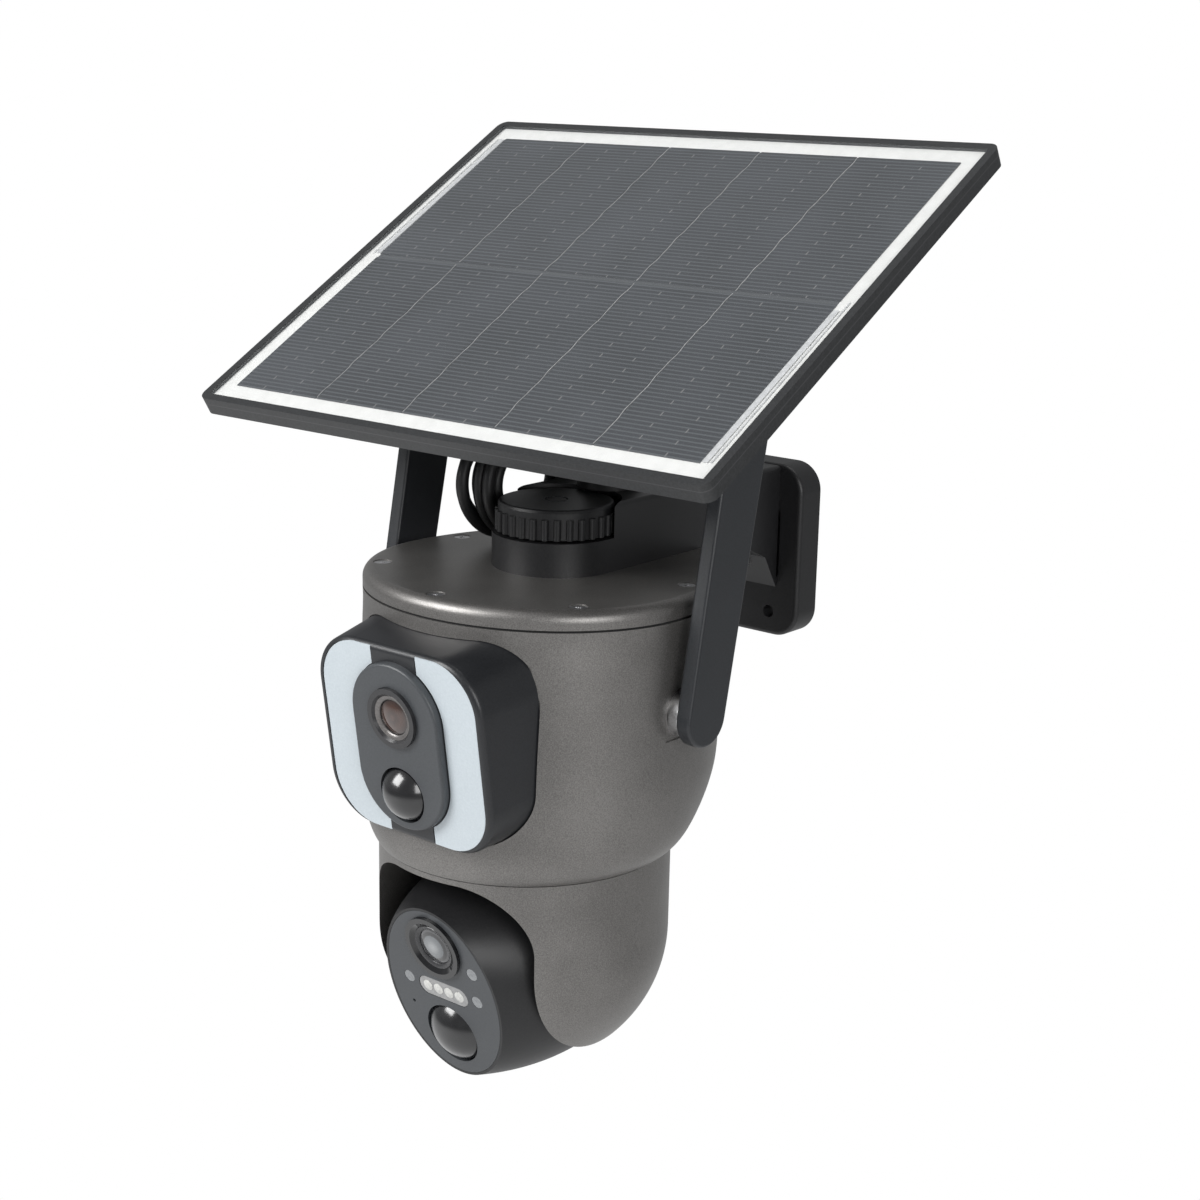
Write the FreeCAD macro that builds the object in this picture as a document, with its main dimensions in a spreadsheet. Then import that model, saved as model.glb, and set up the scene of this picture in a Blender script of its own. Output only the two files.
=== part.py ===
import FreeCAD, Part
import math
import os
import re

import Sketcher

# Solar-powered security camera on a wall arm.
# Frame: origin at the middle of the wall plate's back face, +Z up, the camera looks along -Y,
# millimetres. "Head" sizes count from the seam under the lid, on the pan axis.

SIZES = {
    # wall plate and arm
    "plate_wide": 67, "plate_tall": 69, "plate_deep": 13, "plate_round": 11, "plate_wall": 3,
    "wall_hole_x": 40, "wall_hole_z": 50, "wall_hole_r": 2.5, "wall_boss_r": 5.5,
    "slot_x": 21.5, "slot_deep": 2, "slot_long": 28, "slot_wide": 5, "slot_z": 3,
    "arm_wide": 46, "arm_low": 6.5, "arm_step": 18.6, "arm_top": 31, "arm_back": 19.5,
    "root_drop": 24, "root_run": 32, "recess_gap": 1.5, "arm_edge": 1.5, "arm_bolt_r": 2, "bolt_bite": 8,
    # where the head hangs
    "pan_reach": 134.5, "seam_rise": 3, "swivel_back": 14.65, "stud_r": 5, "washer_thick": 0.8,
    # clamp knob
    "knob_r": 22, "knob_face_r": 20.5, "knob_top": 30.1, "knob_ribs": 30, "rib_r": 1.1,
    "insert_r": 8, "insert_high": 8,
    # lid and upper housing
    "half_wide": 65, "front_deep": 58, "rear_deep": 76, "egg_mid": 4, "lid_thick": 6.5,
    "lid_edge": 4, "lid_pocket": 14, "lid_skin": 3, "gasket": 0.8, "gasket_wide": 2.4,
    "gasket_inset": 0.6, "shell_wall": 2.6, "flange_deep": 10, "rim_drop": 92, "rim_r": 53.8,
    "floor_thick": 3.4, "screw_r": 1.6, "screw_head_r": 3.0, "screw_long": 8,
    # antennas
    "ant_y": 7.5, "ant_drop": 34, "ant_thick": 6, "ant_half": 10.5, "ant_long": 109,
    "ant_lean": 11, "hub_r": 8.5, "hub_out": 4.6, "ant_pin_r": 3, "ant_pin_bite": 4, "ant_top_half": 11.5,
    # front light module
    "mod_y": 63.3, "mod_drop": 43.7, "mod_tilt": 8.5, "mod_half": 38.2, "mod_high": 35.4,
    "mod_round": 18.5, "mod_draft": 7, "mod_deep": 25, "mod_spread": 0.3, "mod_wall": 2.4,
    "mod_gap": 0.6, "mod_edge": 2.2,
    "bar_inset": 1.4, "bar_sunk": 0.2, "bar_split": 10.5, "bar_thick": 2.6, "plate_half": 20,
    "plate_high": 30.6,
    "plate_proud": 2.8, "fit_gap": 0.25, "lens_ring_r": 10.9, "lens_r": 6.4, "dome_r": 10.2,
    "lens_up": 11.5, "dome_down": 17.5,
    # pan housing
    "cup_r": 53.4, "cup_wall": 2.5, "ball_centre": 126, "pan_gap": 0.4, "cup_top": 2,
    "slot_half": 38, "arch_r": 25, "slot_back": 44, "hub_pan_r": 16, "hub_pan_high": 17,
    # eye
    "tilt_drop": 136, "eye_tilt": 15, "eye_r": 41, "eye_side": 36.6, "eye_bulge": 44,
    "eye_wall": 2.4, "face_dist": 43, "face_half": 27.2, "face_high": 35.7, "face_up": 5.8,
    "face_thick": 2.5, "face_rim": 1, "axle_r": 6, "axle_long": 6.5, "bearing_gap": 0.06,
    "eye_lens_r": 12.5, "eye_glass_r": 7, "eye_lens_up": 19.9, "eye_dome_r": 11.9,
    "eye_dome_down": 18.2, "window_half": 11.8, "window_high": 3.8,
    # gears
    "gear_module": 1, "pan_teeth": 60, "pinion_teeth": 12, "gear_wide": 4, "gear_play": 0.35,
    # post and solar panel
    "post_y": 44.5, "post_r": 7.5, "post_base_r": 12, "post_base_high": 8, "post_flange": 3, "spigot_r": 5,
    "pin_rise": 83.85, "pin_r": 3, "boss_half": 8.4, "boss_r": 7.5, "ear_gap": 0.3,
    "ear_thick": 5, "panel_tilt": 30.6, "panel_wide": 231, "panel_deep": 190,
    "panel_top": 29.1, "frame_high": 7, "frame_lip": 3.2, "panel_round": 4,
    "back_wide": 170, "back_deep": 130, "back_high": 4.5, "sheet_thick": 1, "cell_thick": 0.3,
    "glass_thick": 0.8, "strip_wide": 41.5, "strip_deep": 83, "strip_gap_x": 0.8,
    "strip_gap_y": 2.2, "strips": 5,
    # panel lead
    "lead_r": 2.3, "coil_x": 25, "coil_turns_wide": 3, "coil_y": 29, "coil_z": 31,
    "coil_half_y": 28.5, "coil_half_z": 23.8, "coil_ring": 9.2, "gland_x": 41.5, "box_near": 17,
    "box_far": 36, "inlet_x": 30, "inlet_drop": 20, "inlet_r": 5, "boot_long": 16,
    "cell_r": 9.1, "cell_long": 65, "plug_out": 15, "plug_r": 4.6,
}

doc = FreeCAD.newDocument("camera")
sheet = doc.addObject("Spreadsheet::Sheet", "Size")
for row, (alias, number) in enumerate(SIZES.items(), start=1):
    sheet.set(f"A{row}", alias)
    sheet.set(f"B{row}", str(number))
    sheet.setAlias(f"B{row}", alias)
doc.recompute()

V = FreeCAD.Vector
X, Y, Z = V(1, 0, 0), V(0, 1, 0), V(0, 0, 1)
ORIGIN = V(0, 0, 0)
pieces = []


def size(alias):
    """The number a cell of the sheet holds."""
    return float(sheet.get(alias))


def formula(text):
    """Point every size named in the text at its cell in the sheet."""
    return re.sub(r"[a-z_]+[a-z0-9_]*", lambda m: f"Size.{m[0]}" if m[0] in SIZES else m[0], text)


def number(text):
    """What a formula of sizes comes to now."""
    return float(sheet.evalExpression(re.sub(r"Size\.", "", formula(text))))


def bind(item, **formulas):
    for name, text in formulas.items():
        item.setExpression(name, formula(text))
    return item


# ---- frames that pieces are built in: base point and a turn about X
FRAMES = {
    "world": ("0", "0", "0", "0"),
    "head": ("0", "-pan_reach", "seam_rise", "0"),
    "swivel": ("0", "swivel_back-pan_reach", "seam_rise", "0"),
    "module": ("0", "-pan_reach-mod_y", "seam_rise-mod_drop", "mod_tilt"),
    "eye": ("0", "-pan_reach", "seam_rise-tilt_drop", "eye_tilt"),
    "post": ("0", "post_y-pan_reach", "seam_rise", "0"),
    "panel": ("0", "post_y-pan_reach", "seam_rise+pin_rise", "panel_tilt"),
    "antenna": ("0", "ant_y-pan_reach", "seam_rise-ant_drop", "-ant_lean"),
}


def finish(item, label, frame="world"):
    """Name a sub-part and set it in the whole, in the frame that it was built in."""
    x, y, z, turn = FRAMES[frame]
    if item.TypeId in ("Part::Box", "Part::Cylinder"):
        whole = doc.addObject("Part::Compound", "compound")
        whole.Links = [item]
        item = whole
    item.Label = label
    item.Placement = FreeCAD.Placement(ORIGIN, FreeCAD.Rotation(X, number(turn) or 1e-9))
    for path, text in (("Base.x", x), ("Base.y", y), ("Base.z", z)):
        item.setExpression(f"Placement.{path}", formula(text))
    if turn != "0":
        item.setExpression("Placement.Rotation.Angle", formula(turn))
    else:
        item.Placement = FreeCAD.Placement(ORIGIN, FreeCAD.Rotation())
    pieces.append((item, label))
    return item


# ---- Part primitives bound to the sheet
TURNS = {"z": FreeCAD.Rotation(), "x": FreeCAD.Rotation(Y, 90), "y": FreeCAD.Rotation(X, -90)}


def at(item, x="0", y="0", z="0"):
    for axis, text in zip("xyz", (x, y, z)):
        if text != "0":
            item.setExpression(f"Placement.Base.{axis}", formula(text))
    return item


def cylinder(radius, height, x="0", y="0", z="0", along="z"):
    item = doc.addObject("Part::Cylinder", "cylinder")
    bind(item, Radius=radius, Height=height)
    item.Placement.Rotation = TURNS[along]
    return at(item, x, y, z)


def box(x0, x1, y0, y1, z0, z1):
    item = doc.addObject("Part::Box", "box")
    bind(item, Length=f"({x1})-({x0})", Width=f"({y1})-({y0})", Height=f"({z1})-({z0})")
    return at(item, x0, y0, z0)


def fuse(*items):
    if len(items) == 1:
        return items[0]
    item = doc.addObject("Part::MultiFuse", "fuse")
    item.Shapes = list(items)
    return item


def cut(base, *tools):
    item = doc.addObject("Part::Cut", "cut")
    item.Base, item.Tool = base, fuse(*tools)
    return item


def common(first, second):
    item = doc.addObject("Part::Common", "common")
    item.Base, item.Tool = first, second
    return item


def tube(outer, inner, height, x="0", y="0", z="0", along="z"):
    return cut(cylinder(outer, height, x, y, z, along), cylinder(inner, height, x, y, z, along))


# ---- PartDesign bodies bound to the sheet
def new_body(name):
    return doc.addObject("PartDesign::Body", name)


def sketch_on(body, role, lift="0"):
    """A sketch on one of the body's own planes, lifted along that plane's normal."""
    sketch = body.newObject("Sketcher::SketchObject", "sketch")
    plane = next(p for p in body.Origin.OriginFeatures if p.Role == role)
    sketch.AttachmentSupport = (plane, [""])
    sketch.MapMode = "FlatFace"
    if lift != "0":
        sketch.setExpression("AttachmentOffset.Base.z", formula(lift))
    return sketch


def rule(sketch, constraint, text=None):
    index = sketch.addConstraint(constraint)
    if text is not None:
        name = f"size_{index}"
        sketch.renameConstraint(index, name)
        sketch.setExpression(f".Constraints.{name}", formula(text))


def polygon(sketch, points):
    """A closed outline whose every corner is bound to the sheet."""
    spots = [V(number(x), number(y), 0) for x, y in points]
    count = len(points)
    first = sketch.GeometryCount
    for n in range(count):
        sketch.addGeometry(Part.LineSegment(spots[n], spots[(n + 1) % count]))
    for n in range(count):
        rule(sketch, Sketcher.Constraint("Coincident", first + n, 2, first + (n + 1) % count, 1))
    for n, (x, y) in enumerate(points):
        rule(sketch, Sketcher.Constraint("DistanceX", -1, 1, first + n, 1, spots[n].x), x)
        rule(sketch, Sketcher.Constraint("DistanceY", -1, 1, first + n, 1, spots[n].y), y)
    return sketch


def circle(sketch, radius, x="0", y="0"):
    spot = V(number(x), number(y), 0)
    index = sketch.addGeometry(Part.Circle(spot, Z, number(radius)))
    rule(sketch, Sketcher.Constraint("Radius", index, number(radius)), radius)
    rule(sketch, Sketcher.Constraint("DistanceX", -1, 1, index, 3, spot.x), x)
    rule(sketch, Sketcher.Constraint("DistanceY", -1, 1, index, 3, spot.y), y)
    return sketch


def rounded(sketch, half_x, half_y, radius, x="0", y="0"):
    """A rectangle with round corners about a centre, bound to the sheet."""
    a, b, r = number(half_x), number(half_y), number(radius)
    cx, cy = number(x), number(y)
    first = sketch.GeometryCount
    sides = [
        (V(cx - a + r, cy - b, 0), V(cx + a - r, cy - b, 0)),
        (V(cx + a, cy - b + r, 0), V(cx + a, cy + b - r, 0)),
        (V(cx + a - r, cy + b, 0), V(cx - a + r, cy + b, 0)),
        (V(cx - a, cy + b - r, 0), V(cx - a, cy - b + r, 0)),
    ]
    for start, end in sides:
        sketch.addGeometry(Part.LineSegment(start, end))
    corners = [(cx + a - r, cy - b + r, -90), (cx + a - r, cy + b - r, 0),
               (cx - a + r, cy + b - r, 90), (cx - a + r, cy - b + r, 180)]
    for px, py, begin in corners:
        ring = Part.Circle(V(px, py, 0), Z, r)
        sketch.addGeometry(
            Part.ArcOfCircle(ring, math.radians(begin), math.radians(begin + 90)))
    for n in range(4):
        arc, nxt = first + 4 + n, first + (n + 1) % 4
        rule(sketch, Sketcher.Constraint("Tangent", first + n, 2, arc, 1))
        rule(sketch, Sketcher.Constraint("Tangent", arc, 2, nxt, 1))
        rule(sketch, Sketcher.Constraint("Horizontal" if n % 2 == 0 else "Vertical", first + n))
        if n:
            rule(sketch, Sketcher.Constraint("Equal", first + 4, arc))
    rule(sketch, Sketcher.Constraint("Radius", first + 4, r), radius)
    for way, line, value, text in (
        ("DistanceY", 0, cy - b, f"({y})-({half_y})"), ("DistanceX", 1, cx + a, f"({x})+({half_x})"),
        ("DistanceY", 2, cy + b, f"({y})+({half_y})"), ("DistanceX", 3, cx - a, f"({x})-({half_x})"),
    ):
        rule(sketch, Sketcher.Constraint(way, -1, 1, first + line, 1, value), text)
    return sketch


def pad(body, sketch, length, both=False, back=False):
    feature = body.newObject("PartDesign::Pad", "pad")
    feature.Profile = sketch
    feature.Midplane, feature.Reversed = both, back
    bind(feature, Length=length)
    return feature


def pocket(body, sketch, length, both=False, back=False):
    feature = body.newObject("PartDesign::Pocket", "pocket")
    feature.Profile = sketch
    feature.Midplane, feature.Reversed = both, back
    bind(feature, Length=length)
    return feature


def revolve(body, sketch, axis="V_Axis"):
    feature = body.newObject("PartDesign::Revolution", "revolution")
    feature.Profile = sketch
    feature.ReferenceAxis = (sketch, [axis])
    feature.Angle = 360
    return feature


def round_edges(body, radius, test):
    """Round the edges of the body so far that pass the test."""
    doc.recompute()
    base = body.Tip
    names = [f"Edge{n}" for n, e in enumerate(base.Shape.Edges, start=1) if test(e)]
    feature = body.newObject("PartDesign::Fillet", "fillet")
    feature.Base = (base, names)
    bind(feature, Radius=radius)
    return feature


def shape_part(name, shape):
    """A sub-part whose shape comes straight from Part's functions."""
    item = doc.addObject("Part::Feature", name)
    item.Shape = shape if shape.Placement.isIdentity() else Part.makeCompound([shape])
    return item


# ---- the egg-shaped plan shared by the lid, gasket and upper housing
def egg(height, half, front, rear, middle, inset=0.0):
    """A closed outline: a half ellipse in front of the middle line, another behind it."""
    half, front, rear = half - inset, front - inset, rear - inset
    centre = V(0, middle, height)
    arcs = []
    for depth, side in ((front, -1), (rear, 1)):
        if abs(depth - half) < 0.01:
            curve = Part.Circle(centre, Z, half)
        elif depth < half:
            curve = Part.Ellipse(V(half, middle, height), V(0, middle + depth, height), centre)
        else:
            curve = Part.Ellipse(V(0, middle + depth, height), V(-half, middle, height), centre)
        ends = [V(half, middle, height), V(-half, middle, height)]
        if side > 0:
            pair = (curve.parameter(ends[0]), curve.parameter(ends[1]))
        else:
            pair = (curve.parameter(ends[1]), curve.parameter(ends[0]))
        first, last = pair
        if last <= first + 1e-9:
            last += 2 * math.pi
        arcs.append(Part.Edge(curve.trim(first, last)))
    return Part.Wire(Part.sortEdges(arcs)[0])


def egg_of(height, inset=0.0):
    return egg(height, size("half_wide"), size("front_deep"), size("rear_deep"),
               size("egg_mid"), inset)


def egg_prism(low, high, inset=0.0):
    return Part.Face(egg_of(low, inset)).extrude(V(0, 0, high - low))


def bowl_sections(inset, top, bottom):
    """Outlines down the upper housing: straight walls, then a bowl that closes on the rim."""
    half, front, rear = size("half_wide"), size("front_deep"), size("rear_deep")
    middle, drop, rim = size("egg_mid"), size("rim_drop"), size("rim_r")
    shares = [(0.0, 0.0, 0.0), (0.13, 0.0, 0.045), (0.26, 0.0, 0.09), (0.38, 0.0, 0.135),
              (0.49, 0.0, 0.18), (0.59, 0.008, 0.2), (0.67, 0.03, 0.23), (0.80, 0.17, 0.42),
              (0.89, 0.33, 0.68), (0.957, 0.60, 0.87), (1.0, 1.0, 1.0)]
    wires = []
    for depth, side, back in shares:
        level = -drop * depth
        level = min(max(level, bottom), top)
        wires.append(egg(level, half + (rim - half) * side, front + (rim - front) * side,
                         rear + (rim - rear) * back, middle * (1 - back), inset))
    return wires


def screw_spots():
    """The lid screws, mirrored about the middle; the front one is alone."""
    spots = [(0, -47.4)]
    for x, y in ((46, -27), (53.7, 22.6), (30.4, 67.4)):
        spots += [(x, y), (-x, y)]
    wide, front, back = (size("half_wide") / 65, size("front_deep") / 58,
                         (size("rear_deep") + size("egg_mid")) / 80)
    return [(x * wide, y * (front if y < 0 else back)) for x, y in spots]


def upright(radius, low, high, x=0.0, y=0.0):
    return Part.makeCylinder(radius, high - low, V(x, y, low), Z)


# ======================================================================= wall plate and arm
def make_wall_plate():
    body = new_body("wall_plate")
    plan = rounded(sketch_on(body, "XZ_Plane"), "plate_wide/2", "plate_tall/2", "plate_round")
    pad(body, plan, "plate_deep")
    hollow = rounded(sketch_on(body, "XZ_Plane"), "plate_wide/2-plate_wall",
                     "plate_tall/2-plate_wall", "plate_round-plate_wall")
    for x in ("-wall_hole_x/2", "wall_hole_x/2"):
        for z in ("-wall_hole_z/2", "wall_hole_z/2"):
            circle(hollow, "wall_boss_r", x, z)
    pocket(body, hollow, "plate_deep-plate_wall", back=True)
    holes = sketch_on(body, "XZ_Plane")
    for x in ("-wall_hole_x/2", "wall_hole_x/2"):
        for z in ("-wall_hole_z/2", "wall_hole_z/2"):
            circle(holes, "wall_hole_r", x, z)
    for x, z in BOLT_SPOTS:
        circle(holes, "arm_bolt_r", x, z)
    pocket(body, holes, "plate_deep+1", back=True)
    for x in ("-slot_x", "slot_x"):
        slot = rounded(sketch_on(body, "XZ_Plane", "plate_deep-slot_deep"), "slot_wide/2", "slot_long/2",
                       "slot_wide/2-0.05", x, "slot_z")
        pocket(body, slot, "plate_deep+1", back=True)
    deep = size("plate_deep")
    reach = size("plate_wide") / 2 - 0.6
    round_edges(body, "plate_wall*0.6", lambda e: (
        e.BoundBox.YMax < -deep + 0.01
        and max(e.BoundBox.XMax, -e.BoundBox.XMin, e.BoundBox.ZMax, -e.BoundBox.ZMin) > reach
        - size("plate_round")
        and e.Length > 1 and not in_slot(e)))
    return finish(body, "wall_plate")


def in_slot(edge):
    """True for an edge of a slot or a screw hole of the wall plate."""
    box_ = edge.BoundBox
    return box_.XLength < size("slot_long") and box_.ZLength < size("slot_long") + 1 and (
        abs(abs(box_.Center.x) - size("slot_x")) < size("slot_wide")
        and abs(box_.Center.z) < size("wall_hole_z") / 2 + size("wall_hole_r"))


ARM_FRONT = "swivel_back-pan_reach"
BOLT_SPOTS = [("-12", "-5"), ("12", "-5"), ("-10", "22"), ("10", "22")]


def make_arm():
    body = new_body("bracket_arm")
    half, deep = "arm_wide/2", "-plate_deep"
    low = sketch_on(body, "XY_Plane", "seam_rise+arm_low")
    y0, radius = number(ARM_FRONT), number(half)
    back = number(deep)
    ring = Part.Circle(V(0, y0, 0), Z, radius)
    low.addGeometry(Part.ArcOfCircle(ring, math.pi, 2 * math.pi))
    corners = [V(radius, y0, 0), V(radius, back, 0), V(-radius, back, 0), V(-radius, y0, 0)]
    for n in range(3):
        low.addGeometry(Part.LineSegment(corners[n], corners[n + 1]))
    rule(low, Sketcher.Constraint("Tangent", 0, 2, 1, 1))
    rule(low, Sketcher.Constraint("Coincident", 1, 2, 2, 1))
    rule(low, Sketcher.Constraint("Coincident", 2, 2, 3, 1))
    rule(low, Sketcher.Constraint("Tangent", 3, 2, 0, 1))
    rule(low, Sketcher.Constraint("Vertical", 1))
    rule(low, Sketcher.Constraint("Horizontal", 2))
    rule(low, Sketcher.Constraint("PointOnObject", 0, 3, -2))
    rule(low, Sketcher.Constraint("Radius", 0, radius), half)
    rule(low, Sketcher.Constraint("DistanceY", -1, 1, 0, 3, y0), ARM_FRONT)
    rule(low, Sketcher.Constraint("DistanceY", -1, 1, 1, 2, back), deep)
    pad(body, low, "arm_step-arm_low")
    front = "arm_back-pan_reach"
    high = polygon(sketch_on(body, "XY_Plane", "seam_rise+arm_step"), [
        ("-arm_wide/2", front), (half, front), (half, deep), ("-arm_wide/2", deep)])
    pad(body, high, "arm_top-arm_step")
    top = size("seam_rise") + size("arm_top")
    round_edges(body, "arm_edge", lambda e: e.BoundBox.ZMin > top - 0.01
                and abs(abs(e.BoundBox.Center.x) - size("arm_wide") / 2) < 0.01)
    recess = circle(sketch_on(body, "XY_Plane", "seam_rise+arm_step"),
                    "knob_r+recess_gap", "0", ARM_FRONT)
    pocket(body, recess, "arm_top-arm_step+1", back=True)
    root = polygon(sketch_on(body, "YZ_Plane"), [
        (deep, "seam_rise+arm_low"), ("-plate_deep-root_run", "seam_rise+arm_low"),
        ("-plate_deep-root_run*0.25", "seam_rise+arm_low-root_drop*0.45"),
        (deep, "seam_rise+arm_low-root_drop")])
    pad(body, root, "arm_wide", both=True)
    stud = circle(sketch_on(body, "XY_Plane", "seam_rise"), "stud_r+bearing_gap", "0", ARM_FRONT)
    pocket(body, stud, "arm_top+1", back=True)
    bolts = sketch_on(body, "XZ_Plane", "plate_deep")
    for x, z in BOLT_SPOTS:
        circle(bolts, "arm_bolt_r", x, z)
    pocket(body, bolts, "bolt_bite+0.5", back=True)
    hook = sketch_on(body, "YZ_Plane", "-coil_x")
    rounded(hook, "4", "7", "2", "coil_y+20-pan_reach", "seam_rise+arm_step+1")
    pad(body, hook, "coil_x-arm_wide/2+1")
    return finish(body, "bracket_arm")


def make_arm_bolts():
    return [fuse(cylinder("arm_bolt_r-0.02", "plate_wall+bolt_bite", x, "-plate_deep-bolt_bite", z, "y"),
                 cylinder("arm_bolt_r*1.9", "2", x, "-plate_deep+plate_wall", z, "y"))
            for x, z in BOLT_SPOTS]


# ======================================================================= clamp knob
def make_knob():
    """A knurled cap on a core; the ribs are one rib repeated round the axis."""
    low, high = "arm_step+washer_thick", "knob_top"
    body = new_body("clamp_knob")
    revolve(body, polygon(sketch_on(body, "XZ_Plane"), [
        ("insert_r+bearing_gap", low), ("knob_r-rib_r", low), ("knob_r-rib_r", "knob_top-3.2"),
        ("knob_face_r+0.4", "knob_top-1.2"), ("knob_face_r", "knob_top-0.3"),
        ("knob_face_r-0.8", high), ("0", high), ("0", "arm_step+washer_thick+insert_high"),
        ("insert_r+bearing_gap", "arm_step+washer_thick+insert_high")]))
    rib = circle(sketch_on(body, "XY_Plane", low), "rib_r*1.25", "knob_r-rib_r*1.25")
    ribs = pad(body, rib, "knob_top-3.4-(arm_step+washer_thick)")
    pattern = body.newObject("PartDesign::PolarPattern", "ribs")
    pattern.Originals = [ribs]
    axis = next(p for p in body.Origin.OriginFeatures if p.Role == "Z_Axis")
    pattern.Axis = (axis, [""])
    pattern.Angle = 360
    bind(pattern, Occurrences="knob_ribs")
    body.Tip = pattern
    mark = sketch_on(body, "XY_Plane", "knob_top-0.3")
    circle(mark, "4.2")
    circle(mark, "3.6")
    pocket(body, mark, "1", back=True)
    return finish(body, "clamp_knob", "swivel")


# ======================================================================= head
def make_head():
    lid_top, skin = size("lid_thick"), size("lid_skin")
    lid = egg_prism(0, lid_top)
    outer = [e for e in lid.Edges if e.BoundBox.ZMin > lid_top - 0.01]
    lid = lid.makeFillet(size("lid_edge"), outer)
    lid = lid.cut(egg_prism(-1, lid_top - skin, size("lid_pocket")))
    swivel = size("swivel_back")
    stud_r = size("stud_r")
    lid = lid.fuse(upright(stud_r + 6, 0, lid_top - 0.5, 0, swivel))
    lid = lid.cut(upright(stud_r, -1, lid_top + 1, 0, swivel))
    head_r, screw_r = size("screw_head_r"), size("screw_r")
    for x, y in screw_spots():
        lid = lid.cut(upright(screw_r + 0.1, -1, lid_top + 1, x, y))
        lid = lid.cut(Part.makeCone(screw_r + 0.1, head_r + 0.4, head_r - screw_r + 0.3,
                                    V(x, y, lid_top - head_r + screw_r - 0.3), Z))
    finish(shape_part("top_lid", lid.removeSplitter()), "top_lid", "head")

    inset, wide, thick = size("gasket_inset"), size("gasket_wide"), size("gasket")
    gasket = egg_prism(-thick, 0, inset).cut(egg_prism(-thick - 1, 1, inset + wide))
    for x, y in screw_spots():
        gasket = gasket.cut(upright(screw_r + 0.6, -thick - 1, 1, x, y))
    finish(shape_part("lid_gasket", gasket), "lid_gasket", "head")

    reach = size("screw_long")
    screws = []
    for x, y in screw_spots():
        screw = upright(screw_r, lid_top - reach, lid_top - 0.5, x, y)
        screw = screw.fuse(Part.makeCone(screw_r, head_r, head_r - screw_r,
                                         V(x, y, lid_top - head_r + screw_r - 0.3), Z))
        socket = Part.makePolygon([V(x + 1.1 * math.cos(math.radians(60 * n)),
                                     y + 1.1 * math.sin(math.radians(60 * n)), lid_top - 1.3)
                                   for n in range(7)])
        screws.append(screw.cut(Part.Face(socket).extrude(V(0, 0, 3))))
    finish(shape_part("lid_screws", Part.makeCompound(screws)), "lid_screws", "head")

    wall, flange = size("shell_wall"), size("flange_deep")
    drop, floor = size("rim_drop"), size("floor_thick")
    shell = Part.makeLoft(bowl_sections(0, -thick, -drop), True, False)
    inner_top = -thick - flange
    hollow = Part.makeLoft(bowl_sections(wall, 0, -drop), True, False)
    keep = egg_prism(-drop + floor, inner_top, 0)
    shell = shell.cut(hollow.common(keep))
    shell = shell.cut(egg_prism(inner_top - 1, 1, size("lid_pocket") - 1))
    shell = shell.cut(upright(size("hub_pan_r") + 4, -drop - 1, -drop + floor + 1))
    for x, y in screw_spots():
        shell = shell.cut(upright(screw_r + 0.02, lid_top - reach - 1, 1, x, y))
    return shell


def module_block(grow, deep):
    """The drafted block of the light module, front face at y = 0, widening to the back."""
    def outline(depth):
        spread = math.tan(math.radians(size("mod_draft"))) * depth + grow
        half, high = size("mod_half") + spread, size("mod_high") + spread * size("mod_spread")
        radius = size("mod_round") + spread * size("mod_spread")
        points = []
        for cx, cz, begin in ((half - radius, high - radius, 0), (radius - half, high - radius, 90),
                              (radius - half, radius - high, 180), (half - radius, radius - high, 270)):
            ring = Part.Circle(V(cx, depth, cz), V(0, -1, 0), radius)
            arc = Part.Arc(*[V(cx + radius * math.cos(math.radians(begin + turn)), depth,
                               cz + radius * math.sin(math.radians(begin + turn)))
                             for turn in (0, 45, 90)])
            points.append(arc.toShape())
        edges = []
        for n, edge in enumerate(points):
            edges.append(edge)
            start = edge.Vertexes[-1].Point
            end = points[(n + 1) % 4].Vertexes[0].Point
            edges.append(Part.LineSegment(start, end).toShape())
        return Part.Wire(Part.sortEdges(edges)[0])
    return Part.makeLoft([outline(0), outline(deep)], True, True)


def in_head(shape, frame):
    """Move a shape from one of the tilted frames into the head's frame."""
    _, y, z, turn = FRAMES[frame]
    moved = shape.copy()
    base = V(0, number(y) + size("pan_reach"), number(z) - size("seam_rise"))
    moved.Placement = FreeCAD.Placement(base, FreeCAD.Rotation(X, number(turn)))
    return moved


def stadium(half, high, low, top):
    """A plate with round ends in the face plane, from y = low to y = top."""
    middle = Part.makeBox(2 * half, top - low, 2 * (high - half), V(-half, low, half - high))
    ends = [Part.makeCylinder(half, top - low, V(0, low, side * (high - half)), Y)
            for side in (-1, 1)]
    return middle.fuse(ends).removeSplitter()


def make_upper_housing(shell):
    gap = size("mod_gap")
    window = in_head(module_block(gap, size("mod_deep")), "module")
    shell = shell.cut(window)
    ant_y, drop = size("ant_y"), size("ant_drop")
    wide = size("half_wide")
    for side in (-1, 1):
        shell = shell.cut(Part.makeCylinder(size("ant_pin_r") + 0.05, 30,
                                            V(side * (wide - 15), ant_y, -drop), V(side, 0, 0)))
        pad_face = Part.makeBox(12, 2 * size("hub_r") + 1, 2 * size("hub_r") + 1,
                                V(side * (wide - 0.6) - (0 if side > 0 else 12),
                                  ant_y - size("hub_r") - 0.5, -drop - size("hub_r") - 0.5))
        shell = shell.cut(pad_face)
    spot, way = inlet_line()
    shell = shell.cut(Part.makeCylinder(size("inlet_r") + size("bearing_gap"), 30, spot - way * 15, way))
    return finish(shape_part("upper_housing", shell.removeSplitter()), "upper_housing", "head")



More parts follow.
